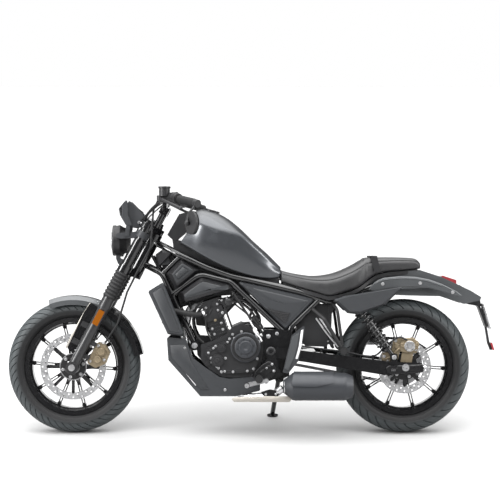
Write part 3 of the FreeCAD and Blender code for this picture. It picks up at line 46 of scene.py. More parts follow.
# The machine's own upright frame, in millimetres: X to the rear, Y to the far side, Z up.
LEAN = math.radians(9.0)
RAKE = math.radians(28.0)
FRONT = Vector((-745, 0, 300))
REAR = Vector((745, 0, 302))
LAMP_HEIGHT = 869
DRUM = (32, 391)
NEAR, FAR, BACK = (0, -1, 0), (0, 1, 0), (1, 0, 0)
TURN = Matrix.Rotation(-LEAN, 4, "X")
SHIFT = Vector(joints["front_axle_spin"]["pos_m"]) - (TURN @ (FRONT / 1000))
PLACE = Matrix.Translation(SHIFT) @ TURN


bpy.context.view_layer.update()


# Materials

# Colour, metallic, roughness, coat, the coat's roughness, specular level
FINISHES = {
    "frame_black": ((0.005, 0.005, 0.0055), 0.0, 0.2, 0.6, 0.05, 0.4),
    "wheel_black": ((0.005, 0.005, 0.0055), 0.0, 0.2, 0.6, 0.05, 0.4),
    "tyre_rubber": ((0.01, 0.01, 0.011), 0.0, 0.56, 0.0, 0.1, 0.3),
    "engine_black": ((0.016, 0.016, 0.017), 0.2, 0.36, 0.15, 0.25, 0.35),
    "graphite_paint": ((0.05, 0.053, 0.058), 0.4, 0.36, 0.3, 0.2),
    "dark_plastic": ((0.011, 0.011, 0.012), 0.0, 0.44, 0.0, 0.1, 0.35),
    "rubber": ((0.008, 0.008, 0.0085), 0.0, 0.6, 0.0, 0.1, 0.3),
    "seat_cover": ((0.046, 0.047, 0.05), 0.0, 0.42),
    "satin_steel": ((0.55, 0.55, 0.56), 1.0, 0.32),
    "muffler_black": ((0.028, 0.03, 0.034), 0.2, 0.5, 0.0, 0.1, 0.35),
    "bright_metal": ((0.62, 0.62, 0.63), 1.0, 0.28),
    "damper_black": ((0.006, 0.006, 0.0065), 0.1, 0.26, 0.4, 0.08, 0.4),
    "spring_black": ((0.006, 0.006, 0.0065), 0.1, 0.26, 0.5, 0.08, 0.4),
    "caliper_gold": ((0.24, 0.195, 0.13), 0.7, 0.36),
    "lens_glass": ((0.95, 0.96, 0.97), 0.0, 0.02),
    "red_lens": ((0.23, 0.03, 0.035), 0.0, 0.12, 0.6, 0.04),
    "amber_lens": ((0.17, 0.05, 0.002), 0.0, 0.14, 0.6, 0.04),
    "mirror_face": ((0.82, 0.84, 0.86), 1.0, 0.03),
    "strip_silver": ((0.62, 0.62, 0.63), 0.2, 0.34, 0.3, 0.1),
    "shield_silver": ((0.32, 0.3, 0.27), 0.35, 0.36),
    "panel_grey": ((0.023, 0.0245, 0.027), 0.0, 0.42, 0.0, 0.1, 0.36),
    "tank_paint": ((0.042, 0.045, 0.05), 0.55, 0.3, 0.5, 0.16),
    "screen_dark": ((0.01, 0.011, 0.014), 0.0, 0.06, 0.8, 0.02),
    "floor_white": ((0.36, 0.36, 0.36), 0.0, 0.7),
}
# Scale of the noise in the roughness, lowest and highest roughness
WEAR = {
    "frame_black": (60, 0.15, 0.25),
    "wheel_black": (50, 0.15, 0.25),
    "engine_black": (80, 0.3, 0.46),
    "graphite_paint": (12, 0.32, 0.4),
    "dark_plastic": (90, 0.38, 0.52),
    "satin_steel": (120, 0.24, 0.42),
    "muffler_black": (70, 0.32, 0.46),
    "bright_metal": (100, 0.22, 0.36),
    "damper_black": (70, 0.24, 0.36),
    "spring_black": (70, 0.24, 0.36),
    "caliper_gold": (90, 0.3, 0.44),
    "lens_glass": (40, 0.01, 0.04),
    "red_lens": (90, 0.08, 0.16),
    "amber_lens": (90, 0.1, 0.2),
    "mirror_face": (6, 0.02, 0.05),
    "strip_silver": (40, 0.3, 0.4),
    "shield_silver": (40, 0.3, 0.42),
    "panel_grey": (60, 0.4, 0.52),
    "tank_paint": (60, 0.3, 0.38),
    "screen_dark": (30, 0.04, 0.1),
    "floor_white": (3, 0.65, 0.75),
}
# Scale of the noise in the colour, darkest and lightest colour
MOTTLE = {
    "tyre_rubber": (30, (0.008, 0.0085, 0.009), (0.014, 0.0145, 0.0155)),
    "graphite_paint": (1400, (0.052, 0.055, 0.058), (0.072, 0.076, 0.08)),
    "seat_cover": (20, (0.011, 0.011, 0.012), (0.018, 0.018, 0.019)),
}
# Scale of the relief, strength, height in metres, and whether it has cells
GRAIN = {
    "tyre_rubber": (900, 0.35, 0.0006),
    "engine_black": (700, 0.3, 0.0004),
    "dark_plastic": (1100, 0.25, 0.0003),
    "rubber": (800, 0.3, 0.0004),
    "seat_cover": (420, 0.5, 0.0008, True),
    "panel_grey": (900, 0.3, 0.0003),
}


def fill(node, inputs):
    """Sets the node's inputs; one that is given as a socket is linked."""
    for key, value in inputs.items():
        if isinstance(value, bpy.types.NodeSocket):
            node.id_data.links.new(value, node.inputs[key])
        else:
            node.inputs[key].default_value = value


def add_node(tree, kind, inputs, **settings):
    node = tree.nodes.new("ShaderNode" + kind)
    for key, value in settings.items():
        setattr(node, key, value)
    fill(node, inputs)
    return node


def own_place(tree):
    return add_node(tree, "TexCoord", {}).outputs["Object"]


def noise(tree, scale, detail):
    inputs = {"Vector": own_place(tree), "Scale": scale, "Detail": detail, "Roughness": 0.55}
    return add_node(tree, "TexNoise", inputs).outputs["Fac"]


def vary_rough(tree, shader, scale, low, high):
    inputs = {"Value": noise(tree, scale, 4.0), "From Min": 0.3, "From Max": 0.7}
    ramp = add_node(tree, "MapRange", inputs | {"To Min": low, "To Max": high})
    fill(shader, {"Roughness": ramp.outputs["Result"]})


def vary_color(tree, shader, scale, dark, light):
    ramp = add_node(tree, "ValToRGB", {"Fac": noise(tree, scale, 5.0)})
    for stop, position, color in zip(ramp.color_ramp.elements, (0.35, 0.65), (dark, light)):
        stop.position = position
        stop.color = (*color, 1.0)
    fill(shader, {"Base Color": ramp.outputs["Color"]})


def bump(tree, shader, scale, strength, height, cells=False):
    if cells:
        relief = add_node(tree, "TexVoronoi", {"Vector": own_place(tree), "Scale": scale}).outputs["Distance"]
    else:
        relief = noise(tree, scale, 6.0)
    node = add_node(tree, "Bump", {"Height": relief, "Strength": strength, "Distance": height})
    fill(shader, {"Normal": node.outputs["Normal"]})


def shader_of(mat):
    return mat.node_tree.nodes["Principled BSDF"]


def make_material(name):
    mat = bpy.data.materials.new(name)
    mat.use_nodes = True
    shader = shader_of(mat)
    plain = (0.0, 0.1, 0.5)
    color, metallic, rough, *rest = FINISHES[name]
    coat, coat_rough, specular = (*rest, *plain[len(rest) :])
    inputs = {"Base Color": (*color, 1.0), "Metallic": metallic, "Roughness": rough, "Coat Weight": coat}
    fill(shader, inputs | {"Coat Roughness": coat_rough, "Specular IOR Level": specular})
    for table, make in ((MOTTLE, vary_color), (WEAR, vary_rough), (GRAIN, bump)):
        if name in table:
            make(mat.node_tree, shader, *table[name])
    return mat


def variant(base, name, inputs):
    """A copy of a material with some of its shader's inputs changed."""
    mat = MATS[base].copy()
    mat.name = name
    fill(shader_of(mat), inputs)
    return mat


def paint(obj, mat):
    obj.data.materials.clear()
    obj.data.materials.append(mat)


def shade(mesh, angle):
    """Smooth faces with sharp edges where they turn by more than the angle."""
    for poly in mesh.polygons:
        poly.use_smooth = True
    mesh.set_sharp_from_angle(angle=math.radians(angle))


MATS = {name: make_material(name) for name in FINISHES}
fill(shader_of(MATS["lens_glass"]), {"Transmission Weight": 0.95, "IOR": 1.45})
NODE_SLOT = {s["node"]: s["material_slot"] for s in frame["record"]["subparts"]}
for name, obj in nodes.items():
    paint(obj, MATS[NODE_SLOT[name]])
    shade(obj.data, 32)

# Width of the softened edges
SOFT_EDGES = {
    "fuel_tank": 7.0,
    "side_panels": 3.0,
    "frame_infills": 4.0,
    "radiator_shrouds": 3.0,
    "belly_pan": 3.0,
    "rear_fender": 2.0,
    "muffler": 2.5,
    "engine_covers": 2.0,
    "crankcase": 2.5,
    "cylinders": 1.5,
    "frame_brackets": 1.5,
    "swingarm": 3.0,
    "flyscreen": 1.0,
    "front_caliper": 2.0,
    "rear_caliper": 2.0,
    "fork_yokes": 2.0,
    "air_box": 3.0,
    "seat_strap": 1.0,
}
for name, width in SOFT_EDGES.items():
    edge = nodes[name].modifiers.new("edges", "BEVEL")
    edge.width = width / 1000
    edge.segments = 3
    edge.limit_method = "ANGLE"
    edge.angle_limit = math.radians(28)
    edge.harden_normals = True


def by_distance(obj, base, name, centre, reach, soft, inner, outer):
    """Paints the object with a copy of a material that changes its colour at a distance from the axle."""
    mat = variant(base, name, {})
    tree, shader = mat.node_tree, shader_of(mat)
    far = add_node(tree, "VectorMath", {0: own_place(tree), 1: centre}, operation="DISTANCE").outputs["Value"]
    inputs = {"Value": far, "From Min": reach - soft, "From Max": reach + soft}
    share = add_node(tree, "MapRange", inputs).outputs["Result"]
    factor, first, second, result = 0, 6, 7, 2
    inputs = {factor: share, first: (*inner, 1.0), second: (*outer, 1.0)}
    tint = add_node(tree, "Mix", inputs, data_type="RGBA")
    fill(shader, {"Base Color": tint.outputs[result]})
    if shader.inputs["Metallic"].default_value > 0.5:
        fill(shader, {"Metallic": share})
    paint(obj, mat)


BLACK, STEEL = (0.008, 0.008, 0.0085), (0.62, 0.62, 0.63)
for node, axle, y, reach in (("front_disc", FRONT, -60, 0.1145), ("rear_disc", REAR, -88, 0.0845)):
    middle = PLACE @ ((axle + Vector((0, y, 0))) / 1000)
    by_distance(nodes[node], NODE_SLOT[node], node + "_metal", middle, reach, 0.0005, BLACK, STEEL)
for node in ("side_panels", "radiator_shrouds", "belly_pan", "flyscreen", "headlamp_brackets"):
    paint(nodes[node], MATS["panel_grey"])
cap_inputs = {"Base Color": (0.03, 0.03, 0.032, 1.0), "Metallic": 0.4}
paint(nodes["filler_cap"], variant("bright_metal", "cap_black", cap_inputs))
slider_inputs = {"Coat Weight": 0.35, "Coat Roughness": 0.3}
paint(nodes["fork_sliders"], variant("engine_black", "slider_black", slider_inputs))


# Shapes in the machine's upright frame


def link(name, data):
    obj = bpy.data.objects.new(name, data)
    bpy.context.scene.collection.objects.link(obj)
    return obj


class Bag:
    """Shapes of one finish on one body, joined into one object."""

    def __init__(self, name, body, slot, sharp=34):
        self.name, self.body, self.slot, self.sharp = name, body, slot, sharp
        self.verts, self.faces = [], []

    def add(self, *shapes):
        for verts, faces in shapes:
            start = len(self.verts)
            self.verts += verts
            self.faces += [tuple(i + start for i in f) for f in faces]

    def done(self, material=None):
        mesh = bpy.data.meshes.new(self.name)
        mesh.from_pydata([(x / 1000, y / 1000, z / 1000) for x, y, z in self.verts], [], self.faces)
        bm = bmesh.new()
        bm.from_mesh(mesh)
        bmesh.ops.recalc_face_normals(bm, faces=bm.faces)
        bm.to_mesh(mesh)
        bm.free()
        obj = link(self.name, mesh)
        obj.matrix_world = PLACE
        shade(mesh, self.sharp)
        mesh.materials.append(MATS[material or self.slot])
        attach(obj, self.body)
        return obj


def done(*bags):
    for bag in bags:
        bag.done()


def join(*shapes):
    verts, faces = [], []
    for v, f in shapes:
        start = len(verts)
        verts += list(v)
        faces += [tuple(i + start for i in face) for face in f]
    return verts, faces


def skin(rings, loop=False):
    """Faces from each ring of points to the next, with both ends closed or the last joined to the first."""
    n, count = len(rings[0]), len(rings)
    faces = []
    for r in range(count if loop else count - 1):
        after = (r + 1) % count
        for i in range(n):
            j = (i + 1) % n
            faces.append((r * n + i, r * n + j, after * n + j, after * n + i))
    if not loop:
        faces += [tuple(range(n)), tuple(range((count - 1) * n, count * n))]
    return [p for ring in rings for p in ring], faces


def axes_of(axis):
    w = Vector(axis).normalized()
    u = w.orthogonal().normalized()
    return u, w.cross(u), w


def lathe(origin, axis, profile, segs=24):
    """Turned shape: profile is (distance along the axis, radius)."""
    u, v, w = axes_of(axis)
    verts, faces, rings = [], [], []
    for along, r in profile:
        centre = Vector(origin) + w * along
        if r < 1e-6:
            rings.append([len(verts)] * segs)
            verts.append(centre)
            continue
        rings.append(list(range(len(verts), len(verts) + segs)))
        for i in range(segs):
            a = 2 * math.pi * i / segs
            verts.append(centre + (u * math.cos(a) + v * math.sin(a)) * r)
    for a, b in zip(rings, rings[1:]):
        for i in range(segs):
            j = (i + 1) % segs
            face = tuple(dict.fromkeys((a[i], a[j], b[j], b[i])))
            if len(face) > 2:
                faces.append(face)
    return verts, faces


def flow(a, b, c, d, t):
    """A share t of the way from b to c, on the smooth curve that passes a and d too."""
    return 0.5 * (2 * b + (c - a) * t + (2 * a - 5 * b + 4 * c - d) * t**2 + (3 * b - a - 3 * c + d) * t**3)


def smooth_path(points, steps):
    """A flowing line through the points."""
    pts = [Vector(p) for p in points]
    pts = [pts[0] * 2 - pts[1]] + pts + [pts[-1] * 2 - pts[-2]]
    line = [flow(*four, i / steps) for four in zip(pts, pts[1:], pts[2:], pts[3:]) for i in range(steps)]
    return line + [pts[-2]]


def spline(rows, steps):
    """Rows of numbers with a smooth run of rows added between them."""
    out = []
    for i in range(len(rows) - 1):
        four = (rows[max(i - 1, 0)], rows[i], rows[i + 1], rows[min(i + 2, len(rows) - 1)])
        out += [[flow(*column, k / steps) for column in zip(*four)] for k in range(steps)]
    return out + [list(rows[-1])]


def hose(points, radius, segs=12, steps=8):
    line = smooth_path(points, steps) if steps > 1 else [Vector(p) for p in points]
    u, _, _ = axes_of(line[1] - line[0])
    verts, faces = [line[0]], []
    for i, p in enumerate(line):
        along = (line[min(i + 1, len(line) - 1)] - line[max(i - 1, 0)]).normalized()
        u = (u - along * u.dot(along)).normalized()
        v = along.cross(u)
        for k in range(segs):
            a = 2 * math.pi * k / segs
            verts.append(p + (u * math.cos(a) + v * math.sin(a)) * radius)
    verts.append(line[-1])
    last = len(verts) - 1
    for k in range(segs):
        n = (k + 1) % segs
        faces += [(0, 1 + n, 1 + k), (last, last - segs + k, last - segs + n)]
        for a in range(1, 1 + (len(line) - 1) * segs, segs):
            faces.append((a + k, a + n, a + segs + n, a + segs + k))
    return verts, faces


def hoses(rows, side=1, segs=12):
    """Hoses from rows of a radius and points, on the side given."""
    return join(*(hose([(x, side * y, z) for x, y, z in points], radius, segs) for radius, points in rows))


def drawn_in(outline, d):
    """The outline moved inwards by d."""
    area2 = sum(a[0] * b[1] - b[0] * a[1] for a, b in zip(outline, outline[1:] + outline[:1]))
    turn = 1 if area2 > 0 else -1
    moved = []
    for i, here in enumerate(outline):
        before, after = outline[i - 1], outline[(i + 1) % len(outline)]
        e1 = Vector((here[0] - before[0], here[1] - before[1])).normalized()
        e2 = Vector((after[0] - here[0], after[1] - here[1])).normalized()
        n1, n2 = Vector((-e1.y, e1.x)) * turn, Vector((-e2.y, e2.x)) * turn
        n = (n1 + n2).normalized()
        reach = d / max(0.35, n.dot(n1))
        moved.append((here[0] + n.x * reach, here[1] + n.y * reach))
    return moved


def bend(a, p, b, t):
    """A share t of the way along the curve from a to b that heads for p."""
    return a * (1 - t) ** 2 + p * 2 * t * (1 - t) + b * t**2


def rounded(outline, reach, count=5):
    """The outline with its corners turned into curves that start the given length away."""
    out = []
    for i, here in enumerate(outline):
        a, p, b = Vector(outline[i - 1]), Vector(here), Vector(outline[(i + 1) % len(outline)])
        ra, rb = min(reach, (a - p).length * 0.45), min(reach, (b - p).length * 0.45)
        start, end = p + (a - p).normalized() * ra, p + (b - p).normalized() * rb
        out += [tuple(bend(start, p, end, k / count)) for k in range(count + 1)]
    return out


def plate(outline, y_from, y_to, bevel=0.0):
    """A side outline of (x, z) points given thickness across the machine, with chamfered edges."""
    rings = [(outline, y_from), (outline, y_to)]
    if bevel:
        step = bevel if y_to > y_from else -bevel
        small = drawn_in(outline, bevel)
        rings = [(small, y_from), (outline, y_from + step), (outline, y_to - step), (small, y_to)]
    return skin([[(x, y, z) for x, z in points] for points, y in rings])


def pillow(outline, y_back, y_face, reach, dome=2.0):
    """A moulded panel that rolls over its edge and bellies out a little in its middle."""
    rings = []
    for i in range(7):
        t = i / 6 * math.pi / 2
        y = y_back + (y_face - y_back) * math.sin(t)
        rings.append([(x, y, z) for x, z in drawn_in(outline, reach * (1 - math.cos(t)))])
    last = rings[-1]
    mx, _, mz = (sum(axis) / len(last) for axis in zip(*last))
    for share in (0.85, 0.65, 0.4, 0.18):
        y = y_face + math.copysign(dome, y_face - y_back) * (1 - share**2)
        rings.append([(mx + (x - mx) * share, y, mz + (z - mz) * share) for x, _, z in last])
    return skin(rings)


def turned(shape, centre, degrees):
    """The shape turned about an axle."""
    spin = Matrix.Translation(centre) @ Matrix.Rotation(math.radians(degrees), 4, "Y")
    spin = spin @ Matrix.Translation(-centre)
    return [spin @ Vector(v) for v in shape[0]], shape[1]


def around(shape, centre, count, first=0):
    """The shape repeated about an axle."""
    return join(*(turned(shape, centre, i * 360 / count + first) for i in range(count)))


def screw(at, axis, r=4.5, h=4.5):
    """Socket head screw on a washer."""
    profile = [(0, 0), (0, r * 1.4), (0.9, r * 1.4), (0.9, r), (h - 0.5, r), (h, r - 0.6), (h, r * 0.55)]
    return lathe(at, axis, profile + [(h * 0.45, r * 0.5), (h * 0.45, 0)], 20)


def outward(y):
    return (0, math.copysign(1, y), 0)


def lathes(y, profile, segs, *spots):
    """The same turned shape at each (x, z) on a face at y."""
    return join(*(lathe((x, y, z), outward(y), profile, segs) for x, z in spots))


def screws(y, r, h, *spots):
    return join(*(screw((x, y, z), outward(y), r, h) for x, z in spots))


def circle(centre, radius, count, first=0):
    """(x, z) places spread round a centre."""
    angles = [math.radians(i * 360 / count + first) for i in range(count)]
    return [(centre[0] + radius * math.cos(a), centre[1] + radius * math.sin(a)) for a in angles]


def band(half, low, high):
    """Profile of a raised ring."""
    return [(-half, low), (-half, high), (half, high), (half, low)]


def oblong(x_from, x_to, z_from, z_to):
    return [(x_from, z_from), (x_to, z_from), (x_to, z_to), (x_from, z_to)]


def nut(at, axis, r=8.0, h=6.0):
    """Hexagon nut with its washer and the end of the stud."""
    washer = lathe(at, axis, [(0, 0), (0, r * 1.25), (1.2, r * 1.25), (1.2, 0)], 24)
    head = lathe(at, axis, [(1.2, 0), (1.2, r), (h - 0.8, r), (h, r * 0.86), (h, 0)], 6)
    stud = lathe(at, axis, [(h, 0), (h, r * 0.5), (h + 1.6, r * 0.5), (h + 2.2, r * 0.4), (h + 2.2, 0)], 16)
    return join(washer, head, stud)


FORK_UP = Vector((math.sin(RAKE), 0, math.cos(RAKE)))
FORK_BACK = Vector((math.cos(RAKE), 0, -math.sin(RAKE)))


def fork_at(x, y, z):
    """From the fork's own frame (Z up the leg, zero at the axle)."""
    along, up = x * math.cos(RAKE) + z * math.sin(RAKE), z * math.cos(RAKE) - x * math.sin(RAKE)
    return Vector((FRONT.x + along, y, FRONT.z + up))


def forked(shape):
    """A shape drawn in the fork's own frame, placed on the machine."""
    return [fork_at(*v) for v in shape[0]], shape[1]


# Tyres


def arc_points(a, b, c, count):
    """Points on the circle through three (y, r) points, from a to c."""
    (ax, ay), (bx, by), (cx, cy) = a, b, c
    sa, sb, sc = (p[0] ** 2 + p[1] ** 2 for p in (a, b, c))
    d = 2 * (ax * (by - cy) + bx * (cy - ay) + cx * (ay - by))
    ux = (sa * (by - cy) + sb * (cy - ay) + sc * (ay - by)) / d
    uy = (sa * (cx - bx) + sb * (ax - cx) + sc * (bx - ax)) / d
    r = math.hypot(ax - ux, ay - uy)
    start, mid, end = (math.atan2(p[1] - uy, p[0] - ux) for p in (a, b, c))
    mid = start + math.remainder(mid - start, 2 * math.pi)
    end = mid + math.remainder(end - mid, 2 * math.pi)
    angles = [start + (end - start) * i / count for i in range(count + 1)]
    return [(ux + r * math.cos(t), uy + r * math.sin(t)) for t in angles]


BEAD, FLANGE = 206.0, 221.0
GROOVE_DEPTH, GROOVE_FOOT, RING_DEPTH = 4.5, 258, 0.9
WALL_RINGS = ((232, 238), (252, 256))
# Share of a pitch and whether the tread is cut there
GROOVE = ((0.0, 0), (0.02, 1), (0.14, 1), (0.16, 0), (0.44, 0), (0.72, 0))
CROWN_STEPS, WALL_STEPS = 14, 22


def make_tyre(node, body, centre, radius, width, rim_width, pitches, slant, rib):
    """Tyre with cut tread: slanted grooves from the middle rib over the shoulders, and rings on the walls."""
    half, seat = width / 2, rim_width / 2 - 6
    shoulder = (0.87 * half, radius - 0.36 * half)
    side = arc_points((0, radius), (shoulder[0] * 0.5, radius - 0.083 * half), shoulder, CROWN_STEPS)
    side += arc_points(shoulder, (half, (radius + BEAD) / 2), (seat, FLANGE), WALL_STEPS)[1:]
    lengths = [0.0]
    for a, b in zip(side, side[1:]):
        lengths.append(lengths[-1] + math.dist(a, b))
    marks = []
    for i, (y, r) in enumerate(side):
        a, b = side[max(i - 1, 0)], side[min(i + 1, len(side) - 1)]
        size = math.dist(a, b)
        cut = GROOVE_DEPTH if rib < lengths[i] and r > GROOVE_FOOT else 0.0
        raised = RING_DEPTH if any(low < r < high for low, high in WALL_RINGS) else 0.0
        slide = slant * min(1.6, max(0.0, lengths[i] - rib) / (lengths[CROWN_STEPS] - rib))
        marks.append((y, r, (a[1] - b[1]) / size, (b[0] - a[0]) / size, cut, raised, slide))
    rows = [(-y, r, -ny, nr, cut, raised, -slide) for y, r, ny, nr, cut, raised, slide in marks[:0:-1]]
    rows += marks
    rings = []
    for pitch, (share, deep) in ((k, part) for k in range(pitches) for part in GROOVE):
        section = []
        for y, r, ny, nr, cut, raised, slide in rows:
            shift = 0.5 if y < 0 else 0.0
            turn = pitch + share + shift * min(1.0, abs(y) / rib) + abs(slide)
            low = deep * cut - raised
            section.append((y - ny * low, r - nr * low, turn))
        section += [(seat, BEAD, pitch + share), (-seat, BEAD, pitch + share)]
        ring = []
        for y, r, turn in section:
            a = turn * 2 * math.pi / pitches
            ring.append((centre.x + r * math.sin(a), y, centre.z + r * math.cos(a)))
        rings.append(ring)
    bag = Bag(node + "_tread", body, "tyre_rubber", 28)
    bag.add(skin(rings, loop=True))
    obj = bag.done()
    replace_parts(obj, node)
    # The tread is painted lighter and bluer than the wall: partly scuffed rubber, partly a painted highlight on
    # the tread.
    wall, tread = (0.0055, 0.0055, 0.006), (0.034, 0.039, 0.041)
    reach = radius / 1000 - 0.034
    by_distance(obj, "tyre_rubber", node + "_tread_rubber", centre / 1000, reach, 0.012, wall, tread)


make_tyre("front_tyre", "front_wheel", FRONT, 300, 120, 92, 48, 1.3, 13)
make_tyre("rear_tyre", "rear_wheel", REAR, 302, 140, 106, 36, 1.0, 16)


# Wheels

VALVE = [(0, 0), (0, 4), (6, 4), (8, 2.6), (28, 2.6), (28, 4), (36, 4), (37, 3), (37, 0)]


def pin(at, r, hole):
    """Pin of a floating disc, with a hole in its middle."""
    return lathe(at, NEAR, [(0, 0), (0, r), (2, r), (2, hole), (0.8, hole), (0.8, 0)], 20)


def valve(axle, degrees):
    return turned(lathe(axle + Vector((0, -12, 190)), (0.0, -0.35, -1), VALVE, 14), axle, degrees)


def tooth(x, z, low, high, foot, tip):
    outline = [(x - foot, z + low), (x + foot, z + low), (x + tip, z + high), (x - tip, z + high)]
    return plate(outline, 85.5, 90.5)


def wheel_details():
    steel = Bag("front_wheel_fittings", "front_wheel", "satin_steel")
    dark = Bag("front_wheel_pins", "front_wheel", "damper_black")
    steel.add(around(screw((-745, -64.6, 348), NEAR, 5.5, 5), FRONT, 6, 15))
    dark.add(around(pin((-745, -65, 413), 7, 4), FRONT, 8))
    steel.add(lathe((-745, -55.2, 300), NEAR, [(0, 31), (0, 22), (6, 22), (8, 24), (8, 30), (0, 31)], 48))
    steel.add(lathe((-745, 55.2, 300), FAR, [(0, 38), (0, 18), (5, 18), (6, 20), (6, 36), (0, 38)], 48))
    dark.add(valve(FRONT, 40))
    steel.done()
    dark.done()
    steel = Bag("rear_wheel_fittings", "rear_wheel", "satin_steel")
    dark = Bag("rear_wheel_pins", "rear_wheel", "damper_black")
    steel.add(around(screw((745, -92.6, 350), NEAR, 5.5, 5), REAR, 5, 10))
    dark.add(around(pin((745, -93, 386), 6, 3.5), REAR, 8))
    steel.add(around(nut((745, 91, 349), FAR, 7, 7), REAR, 6, 30))
    steel.add(around(tooth(745, 302, 86, 93.5, 4, 1.6), REAR, 38))
    dark.add(valve(REAR, 250))
    steel.done()
    dark.done()


wheel_details()


# Drive chain

PITCH, CHAIN_Y = 15.875, 88
SPROCKET = Vector((92, 0, 366))


def chain_line():
    """Evenly spaced roller places round both sprockets, in the order of the chain's run."""
    big, small = (REAR.x, REAR.z, 93.0), (SPROCKET.x, SPROCKET.z, 35.0)
    dx, dz = big[0] - small[0], big[1] - small[1]
    base, lean = math.atan2(dz, dx), math.acos((big[2] - small[2]) / math.hypot(dx, dz))
    up, down = base + math.pi - lean, base + math.pi + lean
    line = []
    for (x, z, r), first, last, steps in ((small, up, down, 60), (big, down, up + 2 * math.pi, 120)):
        for i in range(steps + 1):
            a = first + (last - first) * i / steps
            line.append((x + r * math.cos(a), z + r * math.sin(a)))
    line.append(line[0])
    total = sum(math.dist(a, b) for a, b in zip(line, line[1:]))
    count = 2 * round(total / PITCH / 2)
    spots, walked, goal = [], 0.0, 0.0
    for a, b in zip(line, line[1:]):
        span = math.dist(a, b)
        while goal <= walked + span and len(spots) < count:
            t = (goal - walked) / span
            spots.append((a[0] + (b[0] - a[0]) * t, a[1] + (b[1] - a[1]) * t))
            goal += total / count
        walked += span
    return spots


def link_outline(a, b):
    along = Vector((b[0] - a[0], b[1] - a[1])).normalized()
    aside = Vector((-along.y, along.x))
    outline = []
    for centre, sign in ((a, -1), (b, 1)):
        for turn in (-80, -30, 30, 80):
            t = math.radians(turn)
            way = (along * math.cos(t) + aside * math.sin(t)) * sign
            outline.append((centre[0] + way.x * 6.6, centre[1] + way.y * 6.6))
    return outline


def make_chain():
    spots = chain_line()
    links = Bag("chain_links", "frame", "satin_steel", 40)
    rollers = Bag("chain_rollers", "frame", "satin_steel", 40)
    for i, a in enumerate(spots):
        outline = link_outline(a, spots[(i + 1) % len(spots)])
        reach = 6.4 if i % 2 else 4.6
        for y in (CHAIN_Y - reach, CHAIN_Y + reach):
            links.add(plate(outline, y - 0.8, y + 0.8, 0.3))
        rollers.add(lathe((a[0], 83.6, a[1]), FAR, [(0, 0), (0, 5), (8.8, 5), (8.8, 0)], 12))
        rollers.add(lathe((a[0], 80, a[1]), FAR, [(0, 0), (0, 2.4), (16, 2.4), (16, 0)], 8))
    hub = [(0, 0), (0, 28), (10, 28), (10, 20), (14, 20), (14, 12), (9, 11), (9, 0)]
    links.add(lathe((92, 83, 366), FAR, hub, 32))
    links.add(around(tooth(92, 366, 27, 37, 4, 1.4), SPROCKET, 15))
    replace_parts(links.done(), "drive_chain")
    rollers.done()


make_chain()


# Seat

# Place along the machine, half width, top and bottom
SEAT = [
    (190.8, 66, 735, 679),
    (230, 88, 724, 668),
    (290, 118, 713, 651),
    (347, 138, 709, 635),
    (404, 149, 716, 619),
    (450, 152, 729, 627),
    (500, 148, 751, 641),
    (536, 141, 771, 657),
    (562, 130, 788, 674),
    (580, 119, 793, 689),
    (620, 111, 794, 716),
    (680, 106, 794, 728),
    (740, 101, 793, 733),
    (790, 94, 789, 738),
    (810, 88, 778, 740),
    (818, 80, 766, 742),
]
# Half section: share of the half width, and of the height from the bottom
SEAT_SIDE = [(0.90, 0.0), (0.955, 0.06), (0.985, 0.3), (1.0, 0.52), (0.985, 0.64), (0.955, 0.73)]
SEAT_SIDE += [(0.93, 0.755), (0.90, 0.80), (0.82, 0.89), (0.68, 0.96), (0.5, 0.99), (0.3, 0.98), (0.12, 0.98)]
SEAM = 6
CREASES = ((556, 5.0, 2.2), (318, 4.0, 1.6))


def make_seat():
    rings, piping = [], []
    for x, w, top, low in spline(SEAT, 6):
        near = [(-w * a, low + (top - low) * b) for a, b in SEAT_SIDE]
        row = near + [(-y, z) for y, z in reversed(near)]
        crease = sum(deep * math.exp(-(((x - at) / wide) ** 2)) for at, wide, deep in CREASES)
        ring = []
        for j, (y, z) in enumerate(row):
            inset = crease if SEAM < j < len(row) - SEAM - 1 else 0.0
            groove = 1.8 if j in (SEAM, len(row) - SEAM - 1) else 0.0
            ring.append((x, y * (1 - groove / w), z - inset - groove * 0.6))
        rings.append(ring)
        piping.append(Vector((x, *row[SEAM])))
    bag = Bag("seat_cushion", "frame", "seat_cover", 50)
    bag.add(skin(rings))
    seat = bag.done()
    soft = seat.modifiers.new("soft", "SUBSURF")
    soft.levels = 1
    soft.render_levels = 1
    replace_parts(seat, "seat")
    trim = Bag("seat_piping", "frame", "dark_plastic", 60)
    for side in (1, -1):
        line = [Vector((p.x, side * p.y, p.z)) for p in piping]
        trim.add(hose(line[2:-2:2], 1.5, 8, 3))
        lift = Vector((0, side * 3.4, 3.0))
        for a, b in zip(line[3:-3], line[4:-3]):
            trim.add(hose([a + lift, a + lift + (b - a) * 0.5], 0.5, 6, 1))
    trim.done()


make_seat()


# Fork, bars and lamp

BAR_END = Vector((-185.0, -390.0, 1028.0))
BAR_WAY = Vector((128.0, -160.0, -34.8)).normalized()


